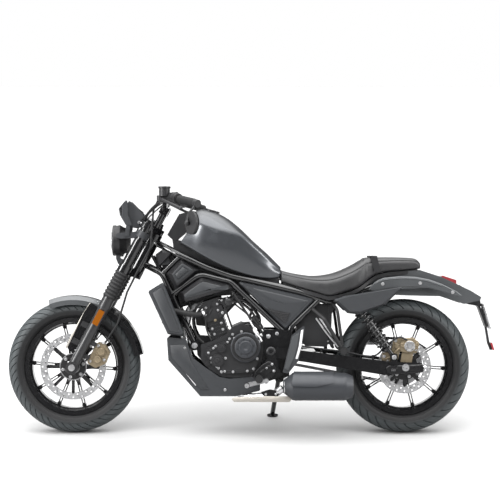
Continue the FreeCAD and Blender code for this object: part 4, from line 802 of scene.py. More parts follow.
def steering_details():
    steel = Bag("steering_bolts", "steering", "satin_steel")
    black = Bag("steering_fittings", "steering", "damper_black")
    rubber = Bag("grip_ribs", "steering", "rubber")
    cables = Bag("control_cables", "steering", "rubber", 60)
    ribs = [(4, 16.5)]
    for i in range(24):
        ribs += [(6 + i * 4.6, 17.2), (7.2 + i * 4.6, 18.3), (9.2 + i * 4.6, 18.3), (10.4 + i * 4.6, 17.2)]
    ribs.append((118, 16.5))
    up = Vector((0.25, 0, 0.97))
    cap = [(0, 17), (1, 17), (2, 12), (7, 12), (8, 10), (8, 0)]
    for side in (-1, 1):
        leg = side * 102
        steel.add(lathe(fork_at(0, leg, 746), FORK_UP, cap, 6))
        steel.add(*(screw(fork_at(-30.4, side * 94, h), -FORK_BACK, 4.5, 6) for h in (500, 716)))
        steel.add(*(screw(fork_at(-46, side * 72.2, h), (0, -side, 0), 4.5, 3) for h in (108, 200)))
        steel.add(screw(fork_at(-24.2, leg, 12), -FORK_BACK, 4, 6))
        for x, y in ((19, -11), (19, 11), (45, -11), (45, 11)):
            steel.add(screw(fork_at(x, side * 46 + y, 831), FORK_UP, 3.6, 5))
        black.add(lathe(fork_at(0, leg, 352), FORK_UP, [(-2, 27.6), (-2, 29.5), (5, 29.5), (5, 27.6)], 32))
        black.add(lathe(fork_at(0, leg, 476), FORK_UP, [(0, 29), (0, 31.5), (5, 31.5), (5, 29)], 32))
        way = Vector((BAR_WAY.x, BAR_WAY.y * -side, BAR_WAY.z))
        end = Vector((BAR_END.x, BAR_END.y * -side, BAR_END.z))
        rubber.add(lathe(end - way * 120, way, ribs, 28))
        pod = end - way * 144
        out = (up - way * way.dot(up)).normalized()
        back = way.cross(out).normalized()
        back *= math.copysign(1, back.x)
        for turn, r in ((out, 6), (back, 7), ((out + back).normalized(), 4.5)):
            button = [(0, r + 2), (3, r + 2), (3.4, r), (6, r - 0.6), (6.4, 0)]
            black.add(lathe(pod + turn * 22, turn, button, 20))
        for start in (-15, 6):
            black.add(lathe(pod + way * start, way, [(0, 24), (0, 24.8), (1, 24.8), (1, 24)], 32))
        steel.add(nut(end - way * 183 + Vector((-46, 0, 6)), (0, 0, 1), 5, 4))
    cup = BAR_END - BAR_WAY * 183 + Vector((-26, 0, 46))
    corner = Vector((1, 1, 0)).normalized() * 19
    steel.add(*(screw(cup + spot, (0, 0, 1), 2.6, 2) for spot in (corner, -corner)))
    outer = [(-296, -246, 1047), (-346, -206, 1040), (-404, -140, 988), (-412, -88, 925), (-388, -60, 872)]
    inner = [(-302, -240, 1043), (-356, -196, 1032), (-414, -130, 976), (-420, -78, 915), (-394, -50, 868)]
    runs = [
        (3.6, outer),
        (3.6, inner),
        (3.8, [(-312, 236, 1050), (-362, 200, 1044), (-424, 134, 985), (-428, 84, 920), (-400, 54, 868)]),
        (3.2, [(-330, 180, 1052), (-372, 150, 1020), (-430, 96, 960), (-452, 50, 915), (-470, 26, 892)]),
        (3.2, [(-330, -180, 1052), (-366, -150, 1022), (-432, -92, 965), (-456, -46, 918), (-474, -24, 892)]),
    ]
    cables.add(hoses(runs))
    horn = [(0, 8), (8, 8), (8, 28), (16, 32), (22, 32), (24, 28), (22, 24), (22, 10), (28, 8), (28, 0)]
    black.add(lathe(fork_at(-34, 46, 566), -FORK_BACK, horn, 36))
    black.add(forked(plate([(-34, 556), (-14, 550), (-14, 520), (-22, 517.5), (-34, 540)], 40, 52, 1)))
    lock = [(0, 15), (10, 15), (12, 13), (12, 4), (9, 3), (9, 0)]
    black.add(lathe(fork_at(44, 0, 742), FORK_UP, lock, 28))
    done(steel, black, rubber, cables)


def lamp_details():
    def on_axis(x, profile, segs):
        return lathe((x, 0, LAMP_HEIGHT), BACK, profile, segs)

    chrome = Bag("lamp_reflector", "steering", "bright_metal", 50)
    bowl = [(-22, 60), (-20, 60), (-8, 52), (2, 40), (8, 24), (10, 14), (12, 14), (10, 24), (4, 41)]
    chrome.add(on_axis(-529, bowl + [(-6, 54), (-19, 63)], 56))
    chrome.add(on_axis(-545, [(0, 26), (-3, 30), (0, 33), (3, 30), (0, 26)], 48))
    chrome.done()
    black = Bag("lamp_fittings", "steering", "dark_plastic", 50)
    black.add(on_axis(-568, [(8, 69.6), (0, 69.6), (-3, 67), (-2, 64.4), (8, 64.6)], 64))
    for rise in (-26, 0, 26):
        z, half = LAMP_HEIGHT + rise, math.sqrt(52**2 - rise**2)
        black.add(plate(oblong(-546, -530, z - 2, z + 2), -half, half, 0.6))
    black.add(on_axis(-546, [(0, 68.3), (0, 70), (9, 70), (9, 68.3)], 64))
    face, clock = Vector((0.622, 0, 0.783)), fork_at(-92, 0, 767)
    black.add(lathe(clock, face, [(0, 43), (2.5, 42), (2.5, 37), (0.5, 36.5)], 56))
    black.add(lathe(clock - face * 30, -face, [(0, 34), (3, 32), (3, 0)], 40))
    black.done()
    glass = Bag("clock_glass", "steering", "lens_glass", 50)
    glass.add(lathe(clock, face, [(0.4, 0), (0.4, 36.8), (1.4, 36.8), (1.8, 0)], 48))
    glass.done("screen_dark")
    mirror = Bag("mirror_glass", "steering", "bright_metal")
    rim = Bag("mirror_rims", "steering", "dark_plastic")
    for side in (-1, 1):
        facing = Vector((math.cos(math.radians(30)), -side * math.sin(math.radians(30)), 0))
        head = Vector((-193, side * 436, 942)) + facing * 4
        mirror.add(lathe(head, facing, [(0.2, 0), (0.2, 46), (1.2, 45.5), (1.4, 0)], 56))
        rim.add(lathe(head, facing, [(0, 50), (2, 49.4), (2, 46.4), (0, 46.2)], 56))
    mirror.done("mirror_face")
    rim.done()


def front_brake_details():
    steel = Bag("front_caliper_bolts", "steering", "satin_steel")
    gold = Bag("front_caliper_ribs", "steering", "caliper_gold")
    steel.add(forked(screws(-95.7, 5, 5, (58, 62), (58, 140), (110, 96))))
    piston = [(0, 16.8), (1.5, 15.5), (1.5, 11), (0.2, 10), (0.2, 0)]
    gold.add(forked(lathes(-107.6, piston, 36, (82, 84), (82, 122))))
    gold.add(forked(plate([(64, 100), (104, 98), (104, 106), (64, 108)], -101, -95.8, 1.2)))
    for ear in ([(50, 68), (64, 60), (66, 64), (52, 74)], [(96, 140), (112, 128), (115, 132), (98, 146)]):
        gold.add(forked(plate(ear, -100, -95.8, 1)))
    steel.add(forked(lathe((70, -97, 158), (0.3, 0, 1), [(0, 5), (6, 5), (6, 3), (12, 3), (13, 0)], 6)))
    done(steel, gold)


def screen_details():
    """Side walls of the small screen, with their screws."""
    walls = Bag("flyscreen_walls", "steering", "graphite_paint", 40)
    steel = Bag("flyscreen_screws", "steering", "satin_steel")
    outline = [(-492, 1050), (-528, 991), (-515, 951), (-470, 924), (-434, 933), (-429, 987), (-456, 1014)]
    for side in (-1, 1):
        walls.add(plate(rounded(outline, 8, 3), side * 66, side * 69.5, 1.2))
        steel.add(screws(side * 69.5, 5, 3.5, (-508, 982), (-448, 950)))
    walls.done("panel_grey")
    steel.done()


steering_details()
lamp_details()
front_brake_details()
screen_details()


# Engine and frame


def engine_details():
    steel = Bag("engine_bolts", "frame", "satin_steel")
    black = Bag("engine_hoses", "frame", "rubber", 60)
    cast = Bag("engine_castings", "frame", "engine_black")
    gold = Bag("engine_plug", "frame", "caliper_gold")
    near = [(-134, 366), (-118, 324), (-96, 304), (-62, 283), (-24, 281), (40, 285), (68, 294), (84, 340)]
    near += [(89, 384), (76, 432), (26, 447), (-18, 431), (-48, 413), (-112, 386)]
    far = [(-120, 372), (-112, 308), (-60, 290), (-20, 288), (20, 312), (24, 372), (10, 420), (-54, 420)]
    cast.add(lathes(-115, [(0, 8.5), (1.5, 8), (1.5, 0)], 24, *near))
    steel.add(screws(-116.5, 4.2, 4, *near), screws(115, 4.2, 4, *far))
    cast.add(lathes(-136.9, [(0, 4), (1.4, 3.4), (1.4, 0)], 16, *circle(DRUM, 37, 8, 12)))
    cast.add(lathes(-141, [(0, 27), (1.2, 26), (1.2, 12), (0.4, 11), (0.4, 0)], 40, DRUM))
    for x, y, z, r in ((-95, -127, 332, 22), (-76, -125, 387, 14)):
        cap = [(0, r), (1.2, r - 1), (1.2, r * 0.5), (3.5, r * 0.42), (3.5, 0)]
        cast.add(lathe((x, y, z), NEAR, cap, 36))
    peg = [(0, 21), (5, 20), (8, 16), (8, 9), (6, 8), (6, 0)]
    for side in (-1, 1):
        steel.add(screws(side * 88, 4.2, 4, (-118, 472), (-77, 498), (-70, 470), (-108, 448)))
        steel.add(screws(side * 92, 4, 5, (-148, 536), (-92, 556), (-146, 566), (-96, 584)))
        steel.add(screws(side * 92, 9.5, 7, (-197, 397)), screws(side * 110, 6, 5, (172, 452)))
        steel.add(nut((134, side * 110, 440), (0, side, 0), 8, 6))
        cast.add(lathes(side * 141.6, peg, 36, (145, 374)))
    gold.add(lathes(-88, [(0, 7), (5, 7), (5, 5), (10, 5), (11, 0)], 6, (-104, 511)))
    steel.add(hose([(86, -121, 416), (78, -124, 452), (70, -124, 478)], 4.5, 12))
    steel.add(lathes(-121, [(0, 9), (4, 9), (5, 7), (5, 0)], 24, (88, 416)))
    thin = [
        (3.6, [(70, -124, 476), (54, -122, 512), (28, -114, 560), (-6, -106, 610), (-30, -100, 640)]),
        (5, [(-60, -72, 430), (-30, -92, 470), (40, -96, 500), (96, -92, 470), (118, -96, 430)]),
        (4, [(-40, -58, 600), (0, -78, 570), (60, -90, 520), (104, -96, 470)]),
        (4.5, [(-84, -60, 600), (-60, -84, 560), (-44, -90, 520), (-30, -88, 480)]),
        (5, [(-20, 58, 610), (20, 80, 560), (60, 92, 500), (100, 96, 440)]),
        (6, [(-392, -24, 800), (-360, -36, 740), (-324, -46, 660), (-262, -58, 530), (-206, -70, 420)]),
        (5, [(-386, 24, 800), (-352, 36, 740), (-316, 46, 660), (-254, 58, 530), (-200, 70, 424)]),
    ]
    coolant = [
        (13, [(-348, -92, 566), (-300, -112, 556), (-220, -118, 540), (-176, -104, 536), (-150, -88, 548)]),
        (13, [(-348, 92, 500), (-300, 112, 470), (-240, 116, 430), (-170, 110, 400), (-130, 106, 390)]),
    ]
    black.add(hoses(thin), hoses(coolant, segs=20))
    for at, way in (((-330, -102, 562), (48, -20, -10)), ((-162, -96, 541), (26, 16, 12))):
        clamp = [(0, 13), (0, 14.4), (10, 14.4), (10, 13)]
        steel.add(lathe(Vector(at) - Vector(way).normalized() * 5, way, clamp, 32))
    cast.add(plate([(-92, 541), (-60, 565), (-50, 545), (-84, 518)], -98, -92.3, 1))
    steel.add(screws(-98, 5, 5, (-72, 545)))
    steel.add(screws(-56, 4.5, 4, (-23, 630), (20, 632), (60, 650), (-180, 668), (-130, 640)))
    done(steel, black, cast, gold)


def radiator_details():
    fins = Bag("radiator_core", "frame", "satin_steel")
    edge = Bag("radiator_frame", "frame", "engine_black")
    top, run = Vector((-396, 638)), Vector((84, -190))
    out = Vector((run.y, -run.x)).normalized()

    def strip(a, b, deep):
        p, q = top + run * a + out * 0.1, top + run * b + out * 0.1
        return [p, q, q + out * deep, p + out * deep]

    for i in range(92):
        y = -116 + i * 232 / 91
        fins.add(plate(strip(0.1, 0.9, 0.8), y - 0.35, y + 0.35))
    for i in range(22):
        a = 0.1 + i * 0.8 / 21
        fins.add(plate(strip(a - 0.006, a + 0.006, 1.3), -117, 117))
    for a, b in ((0.02, 0.095), (0.905, 0.98)):
        edge.add(plate(strip(a, b, 3.0), -122, 122, 0.8))
    for side in (-1, 1):
        edge.add(plate(strip(0.05, 0.95, 3.0), side * 117.5, side * 128, 0.8))
    done(fins, edge)


def chassis_details():
    steel = Bag("chassis_bolts", "frame", "satin_steel")
    black = Bag("chassis_fittings", "frame", "damper_black")
    rubber = Bag("footrest_rubbers", "frame", "rubber")
    cords = Bag("rear_brake_line", "frame", "rubber", 60)
    bright = Bag("pan_edge_painted_highlight", "frame", "bright_metal", 60)
    axle_plate = [(658, 300), (672, 310), (818, 316), (828, 300), (820, 282), (690, 272), (662, 282)]
    raised = [(706, 302), (712, 308), (806, 312), (810, 300), (806, 290), (712, 284), (706, 290)]
    adjuster = [(0, 5), (6, 5), (6, 8), (12, 8), (12, 3.5), (16, 3.5), (17, 0)]
    for side, pedal_x, pedal_z in ((-1, 38, 227), (1, -16, 249)):
        y = side * 140
        black.add(plate(axle_plate, y, y + side * 4, 1.6), plate(raised, y + side * 4, y + side * 6, 0.8))
        steel.add(lathe((824, side * 127, 303), (1, 0, -0.02), adjuster, 6))
        for x in range(682, 702, 4):
            steel.add(plate(oblong(x, x + 1, 286, 296), y + side * 4, y + side * 4.5))
        steel.add(screws(side * 146, 8, 6, (694, 348)), screws(side * 139.6, 7, 5, (515, 600)))
        steel.add(screws(side * 110, 5, 3.5, (-240, 388), (-60, 200), (70, 226)))
        steel.add(screws(side * 141, 4, 4, (-378, 632), (-308, 462)))
        # A thin strip of painted highlight along the belly pan's lower edge, made of bright metal.
        bright.add(plate([(-262, 306), (-254, 310), (-186, 224), (-192, 218)], side * 110, side * 111.2, 0.4))
        for i in range(9):
            rubber.add(lathes(side * (166 + i * 9), band(2.1, 14, 16.4), 28, (92, 256)))
            rubber.add(lathes(side * (170 + i * 6), band(1.5, 15, 17.4), 28, (465, 380)))
        for i in range(4):
            rubber.add(lathes(side * (178 + i * 9), band(2.4, 9.9, 11.8), 24, (pedal_x, pedal_z)))
    line = [(752, -124, 424), (716, -138, 436), (660, -126, 400), (600, -131, 352), (480, -131, 371)]
    cords.add(hose(line + [(360, -131, 386), (262, -124, 400)], 4))
    for x, z in ((600, 349), (480, 366), (370, 380)):
        black.add(plate(oblong(x - 5, x + 5, z - 12, z + 9), -140, -134, 0.6))
    steel.add(screws(-118, 4.5, 5, (742, 402), (772, 418), (792, 380)))
    steel.add(lathes(-128, [(0, 24.5), (1.5, 23), (1.5, 15), (0.4, 14), (0.4, 0)], 40, (765, 396)))
    black.add(lathe((508, -160, 219), BACK, [(0, 46), (3, 44), (3, 26), (-12, 24), (-14, 21)], 48))
    steel.add(lathe((203, -160, 218), BACK, [(0, 27), (0, 31), (12, 35), (12, 30)], 40))
    steel.add(screw((209, -160, 252), (0, -0.2, 1), 4, 6))
    steel.add(*(screw((1090.5, y, 568), (0.956, 0, 0.292), 4, 3) for y in (-70, 70)))
    up, along = Vector((0.287, 0, 0.958)), Vector((0.958, 0, -0.287))
    for i in range(6):
        a = math.radians(i * 60)
        spot = Vector((-122, 28 * math.sin(a), 994)) + up * 22.2 + along * 28 * math.cos(a)
        steel.add(screw(spot, up, 2.4, 1.6))
    done(steel, black, rubber, cords)
    bright.done("strip_silver")


engine_details()
radiator_details()
chassis_details()


def rear_details():
    """Arms on the fender, strips of painted highlight on the side covers' edges, the exhaust's shield, heel guards
    and the rear caliper's forms.
    """
    arms = Bag("fender_arms", "frame", "graphite_paint", 40)
    black = Bag("rear_fittings", "frame", "damper_black")
    steel = Bag("rear_bolts", "frame", "satin_steel")
    gold = Bag("rear_caliper_forms", "frame", "caliper_gold")
    bright = Bag("cover_edge_painted_highlights", "frame", "bright_metal", 60)
    shield = Bag("exhaust_shield", "frame", "satin_steel", 60)
    upper = [(580, 648), (596, 668), (612, 683), (630, 694), (650, 701), (720, 708), (790, 706)]
    upper += [(850, 695), (910, 674), (977, 641), (1000, 622)]
    lower = [(984, 618), (910, 642), (850, 656), (790, 661), (731, 660), (664, 652), (610, 640)]
    cap = [(0, 8), (1.5, 8), (1.5, 6.2), (4.2, 5.6), (4.6, 3), (3.4, 2.6), (3.4, 0)]
    strip = [(289, 472), (279, 467), (270, 400), (254, 342), (264, 340), (281, 398)]
    wedge = [(272, 460), (240, 440), (206, 298), (222, 290), (246, 342), (262, 400)]
    guard = [(68, 262), (78, 286), (104, 312), (132, 330), (150, 326), (168, 300), (160, 266)]
    guard += [(104, 234), (84, 238)]
    raised = [(96, 282), (132, 312), (146, 310), (152, 290), (120, 264)]
    for side in (-1, 1):
        y, foot = side * 149, side * 152.4
        arms.add(plate(upper + lower, side * 108.5, side * 119.4, 3.4))
        arms.add(hose([(x, side * 119.2, z - 9) for x, z in upper[2:-2]], 2.6, 10, 4))
        arms.add(plate(wedge, y, y + side * 2.2, 1.4))
        # A strip of painted highlight along the cover's back edge, made of bright metal.
        bright.add(plate(strip, y, y + side * 1.6, 0.5))
        black.add(plate(guard, side * 149.4, foot, 1.2), plate(raised, foot, side * 154.4, 1))
        steel.add(lathes(side * 119.4, cap, 20, (645, 674), (813, 678), (958, 637)))
        steel.add(screws(foot, 4.2, 3.5, (104, 252), (126, 300), (150, 318), (158, 288)))
        steel.add(screws(side * 60, 4.5, 4, (1022, 618)))
    outer = [(-24, 172), (-30, 164), (-20, 152), (226, 151), (236, 160), (234, 176), (120, 178)]
    shield.add(plate(outer, -168, -172, 1.6))
    shield.add(plate([(-14, 167), (-16, 161), (214, 159), (220, 169)], -172, -173.6, 0.7))
    black.add(lathes(-150, [(0, 6), (17, 6), (17, 0)], 16, (90, 166), (186, 166)))
    black.add(plate([(100, 196), (112, 176), (176, 176), (186, 200), (140, 208)], -171, -166, 1))
    steel.add(screws(-172.4, 4, 3.5, (122, 186), (166, 186)))
    hanger = [(640, 330), (646, 366), (684, 374), (692, 416), (716, 434), (740, 434), (728, 392), (714, 336)]
    body = [(722, 372), (760, 364), (800, 384), (806, 416), (780, 434), (738, 432), (722, 404)]
    gold.add(plate(hanger + [(676, 316)], -112.8, -105, 1.6), plate(body, -124, -118, 2.4))
    gold.add(plate([(698, 388), (724, 384), (724, 402), (700, 410)], -122, -113, 2))
    for x, z, r in ((765, 396, 26), (735, 402, 11), (798, 404, 9)):
        piston = [(0, r), (4, r - 1), (5, r - 4), (5, r * 0.55), (3.5, r * 0.5), (3.5, 0)]
        gold.add(lathes(-124, piston, 40, (x, z)))
    gold.add(hose([(660, -112, 340), (686, -116, 352), (706, -118, 376), (722, -120, 388)], 5, 12))
    steel.add(screws(-112.8, 5, 4, (652, 350), (668, 328), (704, 420)))
    bleeder = [(0, 4.5), (5, 4.5), (5, 2.6), (11, 2.6), (11.6, 0)]
    steel.add(lathe((728, -122, 436), (0.1, -0.2, 1), bleeder, 8))
    black.add(lathe((776, -112, 424), (0.2, 0, 1), [(0, 9), (8, 9), (10, 7), (12, 0)], 20))
    done(arms, black, steel, gold)
    bright.done("strip_silver")
    shield.done("shield_silver")


def filling_details():
    """Looms, coils, hoses and boxes between the frame's tubes."""
    black = Bag("loom_and_boxes", "frame", "damper_black")
    looms = Bag("looms", "frame", "rubber", 60)
    steel = Bag("clips", "frame", "satin_steel")
    cast = Bag("engine_fittings", "frame", "engine_black")
    box = [(-348, 800), (-346, 744), (-322, 684), (-298, 640), (-262, 640), (-240, 670)]
    black.add(plate(box + [(-240, 784), (-272, 806)], -30, 30, 4))
    # Points of the first loom, with the steps in X and Y to the next
    loom = [(-318, 40, 806, 9, 5), (-300, 46, 756, 9, 4), (-286, 50, 700, 8, 3)]
    loom += [(-268, 52, 650, 8, 3), (-240, 54, 600, 6, 4), (-214, 60, 560, 0, 4)]
    throttle = [(-60, 566), (-28, 578), (-18, 596), (-40, 612), (-84, 606), (-92, 590)]
    pump = [(0, 26), (5, 25), (8, 20), (8, 7), (11, 6), (11, 0)]
    thick = [
        (6, [(-80, 70, 612), (-120, 78, 600), (-168, 78, 566), (-196, 74, 520)]),
        (6, [(-8, 76, 600), (24, 82, 596), (62, 82, 566), (92, 76, 524), (96, 70, 506)]),
        (5, [(-160, 80, 600), (-196, 80, 556), (-204, 78, 496), (-186, 84, 440), (-156, 92, 410)]),
        (5, [(48, 70, 520), (60, 80, 552), (52, 84, 588), (30, 78, 616)]),
    ]
    thin = [
        (3.6, [(-30, 84, 594), (10, 88, 586), (50, 88, 556), (84, 92, 510), (112, 96, 470)]),
        (4, [(-120, 90, 560), (-146, 92, 510), (-140, 92, 460), (-120, 96, 420)]),
    ]
    for side in (-1, 1):
        for k in range(3):
            points = [(x + k * dx, side * (y + k * dy), z) for x, y, z, dx, dy in loom]
            looms.add(hose(points, 4.2 + k * 0.6, 10, 6))
        looms.add(hoses(thick, side), hoses(thin, side, 10))
        cast.add(plate(throttle, side * 62, side * 82, 3))
        cast.add(lathes(side * 82, [(0, 16), (6, 15), (8, 11), (8, 0)], 28, (-44, 592)))
        cast.add(lathes(side * 58, [(0, 20), (14, 20), (18, 16), (18, 0)], 32, (2, 606)))
        cast.add(lathes(side * 68, pump, 36, (76, 500)))
        steel.add(screws(side * 82, 3.8, 4, (-76, 600), (-26, 590), (-52, 608)))
        steel.add(screws(side * 74.5, 3.2, 3.5, *circle((76, 500), 20, 3, 30)))
    cast.add(lathes(-131.2, [(0, 5), (1.6, 4.4), (1.6, 0)], 16, *circle(DRUM, 58, 7)))
    cast.add(lathes(-131, [(0, 62), (1.6, 61), (1.6, 55), (0, 54)], 56, DRUM))
    lip = [(-132, 378), (-46, 418), (-24, 434), (-14, 430), (-38, 410), (-124, 370)]
    cast.add(plate(lip, -117.4, -115, 0.9))
    cast.add(plate([(-60, 282), (66, 288), (70, 292), (-62, 288)], -117, -115, 0.8))
    done(black, looms, steel, cast)


def panel_details():
    """Moulded faces of the painted panels, the clutch drum's cover and the folds between them."""
    faces = Bag("moulded_faces", "frame", "graphite_paint", 50)
    dark = Bag("panel_insets", "frame", "dark_plastic")
    drum = Bag("clutch_drum_cover", "frame", "muffler_black", 40)
    cover = [(-8, 688), (352, 608), (214, 462)]
    wing = [(-263, 634), (-166, 703), (-100, 687), (-36, 671), (-20, 652), (-252, 586)]
    diamond = [(-322, 722), (-256, 792), (-172, 738), (-282, 646)]
    shroud = [(-404, 641), (-334, 684), (-236, 440), (-316, 450)]
    pan = [(-306, 402), (-300, 344), (-170, 200), (-132, 200), (-214, 330), (-236, 402)]
    for side in (-1, 1):
        faces.add(pillow(rounded(drawn_in(cover, 13), 22), side * 99, side * 110.5, 12, 3.0))
        faces.add(pillow(rounded(drawn_in(wing, 12), 20), side * 99, side * 111, 13, 4.0))
        faces.add(pillow(rounded(drawn_in(diamond, 14), 12), side * 80, side * 90, 12, 0.5))
        faces.add(plate(drawn_in(diamond, 31), side * 90, side * 95, 3.5))
        faces.add(plate(rounded(drawn_in(shroud, 15), 8, 3), side * 147.8, side * 151, 2.4))
        faces.add(plate(pan, side * 109.8, side * 112.4, 1.8))
        dark.add(plate([(124, 566), (232, 544), (212, 500), (204, 500)], side * 111, side * 114.6, 0.6))
        for t in ((i + 0.5) / 6 for i in range(6)):
            a = Vector((130 + 76 * t, side * 115, 562 - 58 * t))
            b = Vector((226 - 14 * t, side * 115, 543 - 40 * t))
            dark.add(hose([a, (a + b) / 2 + Vector((0, 0, -4)), b], 1.3, 6, 4))
    profile = [(-10, 66.6), (-2, 66.6), (0.6, 63.5), (0.6, 49), (2.4, 47), (6.2, 47), (7.6, 45), (7.6, 30)]
    profile += [(9, 28.4), (11.4, 28.4), (12.4, 26), (12.4, 10), (11.6, 9), (11.6, 0)]
    drum.add(lathes(-130.2, profile, 72, DRUM))
    faces.done("panel_grey")
    done(dark, drum)


def stay_details():
    """Painted highlights along the edges of the fender's stays, and the ring of the front hub."""
    edge = Bag("stay_painted_highlights_and_screws", "steering", "satin_steel", 60)
    outline = [(-63, 62), (-64, 140), (-62, 240), (-57, 288), (-68, 292), (-73, 240), (-75, 140), (-71, 62)]
    for side in (-1, 1):
        # A strip of painted highlight along the edge of each stay, made of pale metal.
        edge.add(forked(plate(outline, side * 74.4, side * 77, 0.6)))
        edge.add(forked(screws(side * 74.2, 4.5, 3, (-48, 262), (-48, 150), (-48, 84))))
    edge.done("shield_silver")
    ring = Bag("front_hub_ring", "front_wheel", "satin_steel", 60)
    ring.add(lathes(-64.4, [(0, 61.5), (1.4, 61), (1.4, 57.5), (0, 57)], 64, (FRONT.x, FRONT.z)))
    ring.done()


# Bottom edge (x, z), crease (x, z) and top (x, z) of each section, half width at the crease and at the bottom
TANK = [
    (-262, 858, -226, 908, -208, 992, 82, 88),
    (-216, 832, -196, 930, -188, 1006, 98, 102),
    (-168, 804, -158, 934, -158, 1010, 120, 116),
    (-110, 773, -104, 922, -104, 997, 134, 124),
    (-50, 746, -46, 911, -46, 966, 139, 125),
    (10, 724, 12, 893, 12, 919, 132, 117),
    (70, 707, 70, 845, 70, 863, 114, 103),
    (130, 697, 130, 791, 130, 809, 89, 86),
    (174, 698, 174, 750, 174, 765, 64, 66),
    (189, 702, 189, 738, 189, 750, 54, 58),
]
ROLL = 11


def tank_ring(xb, zb, xc, zc, xt, zt, wide, low):
    """One section of the tank: crown, soft crease, slightly full flank and rolled lower edge."""
    rise = zt - zc
    radius = (wide**2 + rise**2) / (2 * rise)
    angles = [2 * math.atan(rise / wide) * k / 12 for k in range(13)]
    half = [(radius * math.sin(a), zt - radius + radius * math.cos(a)) for a in angles]
    corner, start = half.pop(), half.pop()
    end = (corner[0] + (low - corner[0]) * 0.2, corner[1] + (zb - corner[1]) * 0.2)
    half += [tuple(bend(*values, k / 6) for values in zip(start, corner, end)) for k in range(7)]
    for t in (k / 6 for k in range(1, 6)):
        full = 4 * math.sin(math.pi * t)
        half.append((end[0] + (low - end[0]) * t + full, end[1] + (zb + 12 - end[1]) * t))
    for a in (math.pi / 2 * k / 5 for k in range(6)):
        half.append((low - ROLL + ROLL * math.cos(a), zb + ROLL - ROLL * math.sin(a)))
    tunnel = min(67, low - 14)
    half += [(tunnel, zb + 0.5), (tunnel, zb + 14), (0, zb + 14)]
    points = []
    for y, z in half:
        foot, head, share = (xc, xt, (z - zc) / rise) if z > zc else (xb, xc, (z - zb) / (zc - zb))
        points.append((foot + (head - foot) * share, y, z))
    return points + [(x, -y, z) for x, y, z in points[-2:0:-1]]


def end_ring(ring, step):
    """A slightly smaller ring that softens the end of the shell."""
    middle = [sum(axis) / len(ring) for axis in zip(*ring)]
    return [tuple(m + (v - m) * 0.97 + s for v, m, s in zip(p, middle, (step, 0, 0))) for p in ring]


def tank_details():
    """The tank's painted shell, drawn down to the frame tubes."""
    rings = [tank_ring(*row) for row in spline(TANK, 6)]
    shell = Bag("tank_shell", "frame", "graphite_paint", 40)
    shell.add(skin([end_ring(rings[0], -1.5), *rings, end_ring(rings[-1], 0.8)]))
    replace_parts(shell.done("tank_paint"), "fuel_tank")


def seat_base_details():
    base = Bag("seat_base", "frame", "dark_plastic", 40)
    rings = []
    for x, wide, _, low in SEAT:
        half = wide - 16
        corners = oblong(-half, half, low - 0.8, low - 18)
        rings.append([(min(max(x, 193), 806), y, z) for y, z in corners])
    base.add(skin(rings), plate([(185, 690), (196, 684), (196, 732), (185, 738)], -46, 46, 1))
    nose = [(-300, 878), (-262, 868), (-216, 842), (-216, 824), (-262, 836), (-294, 842)]
    base.add(plate(nose, -58, 58, 2))
    base.done()


def backing_details():
    """The air duct and the dark plates behind the covers, and the panel beside the head."""
    duct = Bag("air_duct", "frame", "engine_black", 40)
    funnel = [(-240, 600), (-176, 584), (-20, 640), (-6, 690), (-100, 716), (-244, 640)]
    duct.add(plate(rounded(funnel, 20), -52, 52, 6))
    upper = [(-192, 484), (-112, 478), (-96, 536), (-198, 540)]
    lower = [(-196, 400), (-120, 400), (-112, 434), (-190, 440)]
    for block in (upper, lower):
        duct.add(plate(rounded(block, 10), -28, 28, 4))
    duct.done()
    behind = Bag("infill_backs", "frame", "damper_black", 40)
    behind.add(plate([(-340, 722), (-256, 812), (-150, 742), (-284, 624)], -46, 46, 3))
    wing = [(-284, 640), (-166, 724), (-90, 706), (-10, 680), (0, 640), (-262, 566)]
    behind.add(plate(wing, -46, 46, 3))
    behind.done()
    panel = Bag("head_panel", "frame", "graphite_paint", 40)
    outline = rounded([(-340, 802), (-274, 806), (-306, 752), (-350, 760)], 6, 3)
    panel.add(*(pillow(outline, side * 32, side * 40, 6, 0.5) for side in (-1, 1)))
    panel.done()


def clutch_details():
    arm = Bag("clutch_arm", "frame", "satin_steel", 60)
    lever = [(50, -128, 512), (66, -130, 484), (80, -131, 472), (70, -131, 464)]
    arm.add(hose(lever + [(94, -131, 438), (104, -130, 418)], 3.4, 10))
    arm.add(lathes(-126, [(0, 9), (5, 8.6), (6, 7), (6, 0)], 24, (74, 470)))
    arm.done("strip_silver")
    bolts = Bag("engine_screws", "frame", "satin_steel")
    bolts.add(screws(-115.2, 4.4, 4.5, (-102, 395), (-40, 429), (-26, 449), (14, 461), (-122, 342)))
    bolts.add(screws(-115.2, 4.4, 4.5, (-104, 313), (-89, 297), (-76, 281), (-58, 342)))
    bolts.done()
    tube = Bag("peg_hanger_tubes", "frame", "satin_steel", 60)
    for x in (346, 363):
        tube.add(hose([(x, -128, 522), (x + 50, -134, 452), (x + 100, -138, 394)], 4.2, 14))
    tube.done()


rear_details()
filling_details()
panel_details()
stay_details()
tank_details()
seat_base_details()
backing_details()
clutch_details()


# Stage, light and camera


def make_floor():
    bpy.ops.mesh.primitive_plane_add(size=60, location=(0, 0, 0))
    floor = bpy.context.object
    floor.name = "floor"
    paint(floor, MATS["floor_white"])


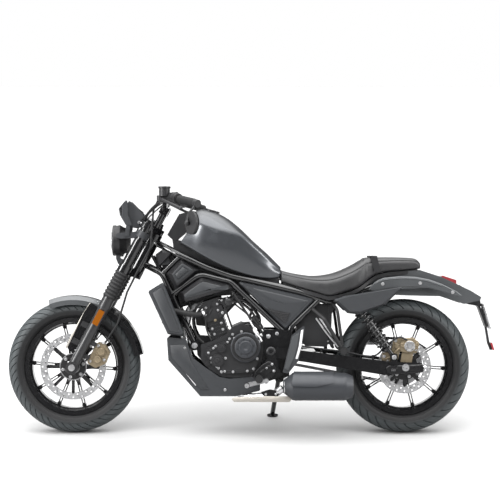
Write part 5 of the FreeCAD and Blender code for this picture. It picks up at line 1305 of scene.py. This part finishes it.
def area(name, location, target, width, height, power):
    light = bpy.data.lights.new(name, "AREA")
    light.shape = "RECTANGLE"
    light.size, light.size_y = width, height
    light.energy = power
    obj = link(name, light)
    obj.location = location
    aim = Vector(target) - Vector(location)
    obj.rotation_euler = aim.to_track_quat("-Z", "Y").to_euler()


def make_light():
    """White to the eye, but bright overhead and dim round the sides, as under a large softbox."""
    world = bpy.data.worlds.new("studio")
    world.use_nodes = True
    tree = world.node_tree
    way = add_node(tree, "TexCoord", {}).outputs["Generated"]
    height = add_node(tree, "SeparateXYZ", {"Vector": way}).outputs["Z"]
    inputs = {"Value": height, "From Min": 0.3, "From Max": 0.9, "To Min": 0.1, "To Max": 4.0}
    glow = add_node(tree, "MapRange", inputs, interpolation_type="SMOOTHSTEP").outputs["Result"]
    eye = add_node(tree, "LightPath", {}).outputs["Is Camera Ray"]
    factor, first, second = 0, 2, 3
    pick = add_node(tree, "Mix", {factor: eye, first: glow, second: 1.0}, data_type="FLOAT")
    fill(tree.nodes["Background"], {"Color": (1.0, 1.0, 1.0, 1.0), "Strength": pick.outputs[0]})
    bpy.context.scene.world = world
    sun = bpy.data.lights.new("overhead", "SUN")
    sun.energy = 2.2
    sun.angle = math.radians(70)
    link("overhead", sun).rotation_euler = (math.radians(10), math.radians(-8), 0)
    area("key", (-0.6, -3.4, 3.4), (0, 0, 0.5), 3.4, 1.2, 34)
    area("side", (-4.4, -2.2, 1.9), (0, 0, 0.45), 1.2, 2.4, 250)
    area("rear", (4.2, -2.2, 2.0), (0, 0, 0.45), 1.0, 2.2, 130)


def make_camera():
    """Square to the machine's near side, leaning with it."""
    data = bpy.data.cameras.new("camera")
    data.lens = 110.8
    data.sensor_width = 36.0
    camera = link("camera", data)
    stand = Matrix.Translation((0.0517, -7.0, 0.826)) @ Matrix.Rotation(math.radians(90), 4, "X")
    camera.matrix_world = PLACE @ stand
    bpy.context.scene.camera = camera


make_floor()
make_light()
make_camera()
bpy.context.scene.view_settings.view_transform = "Standard"
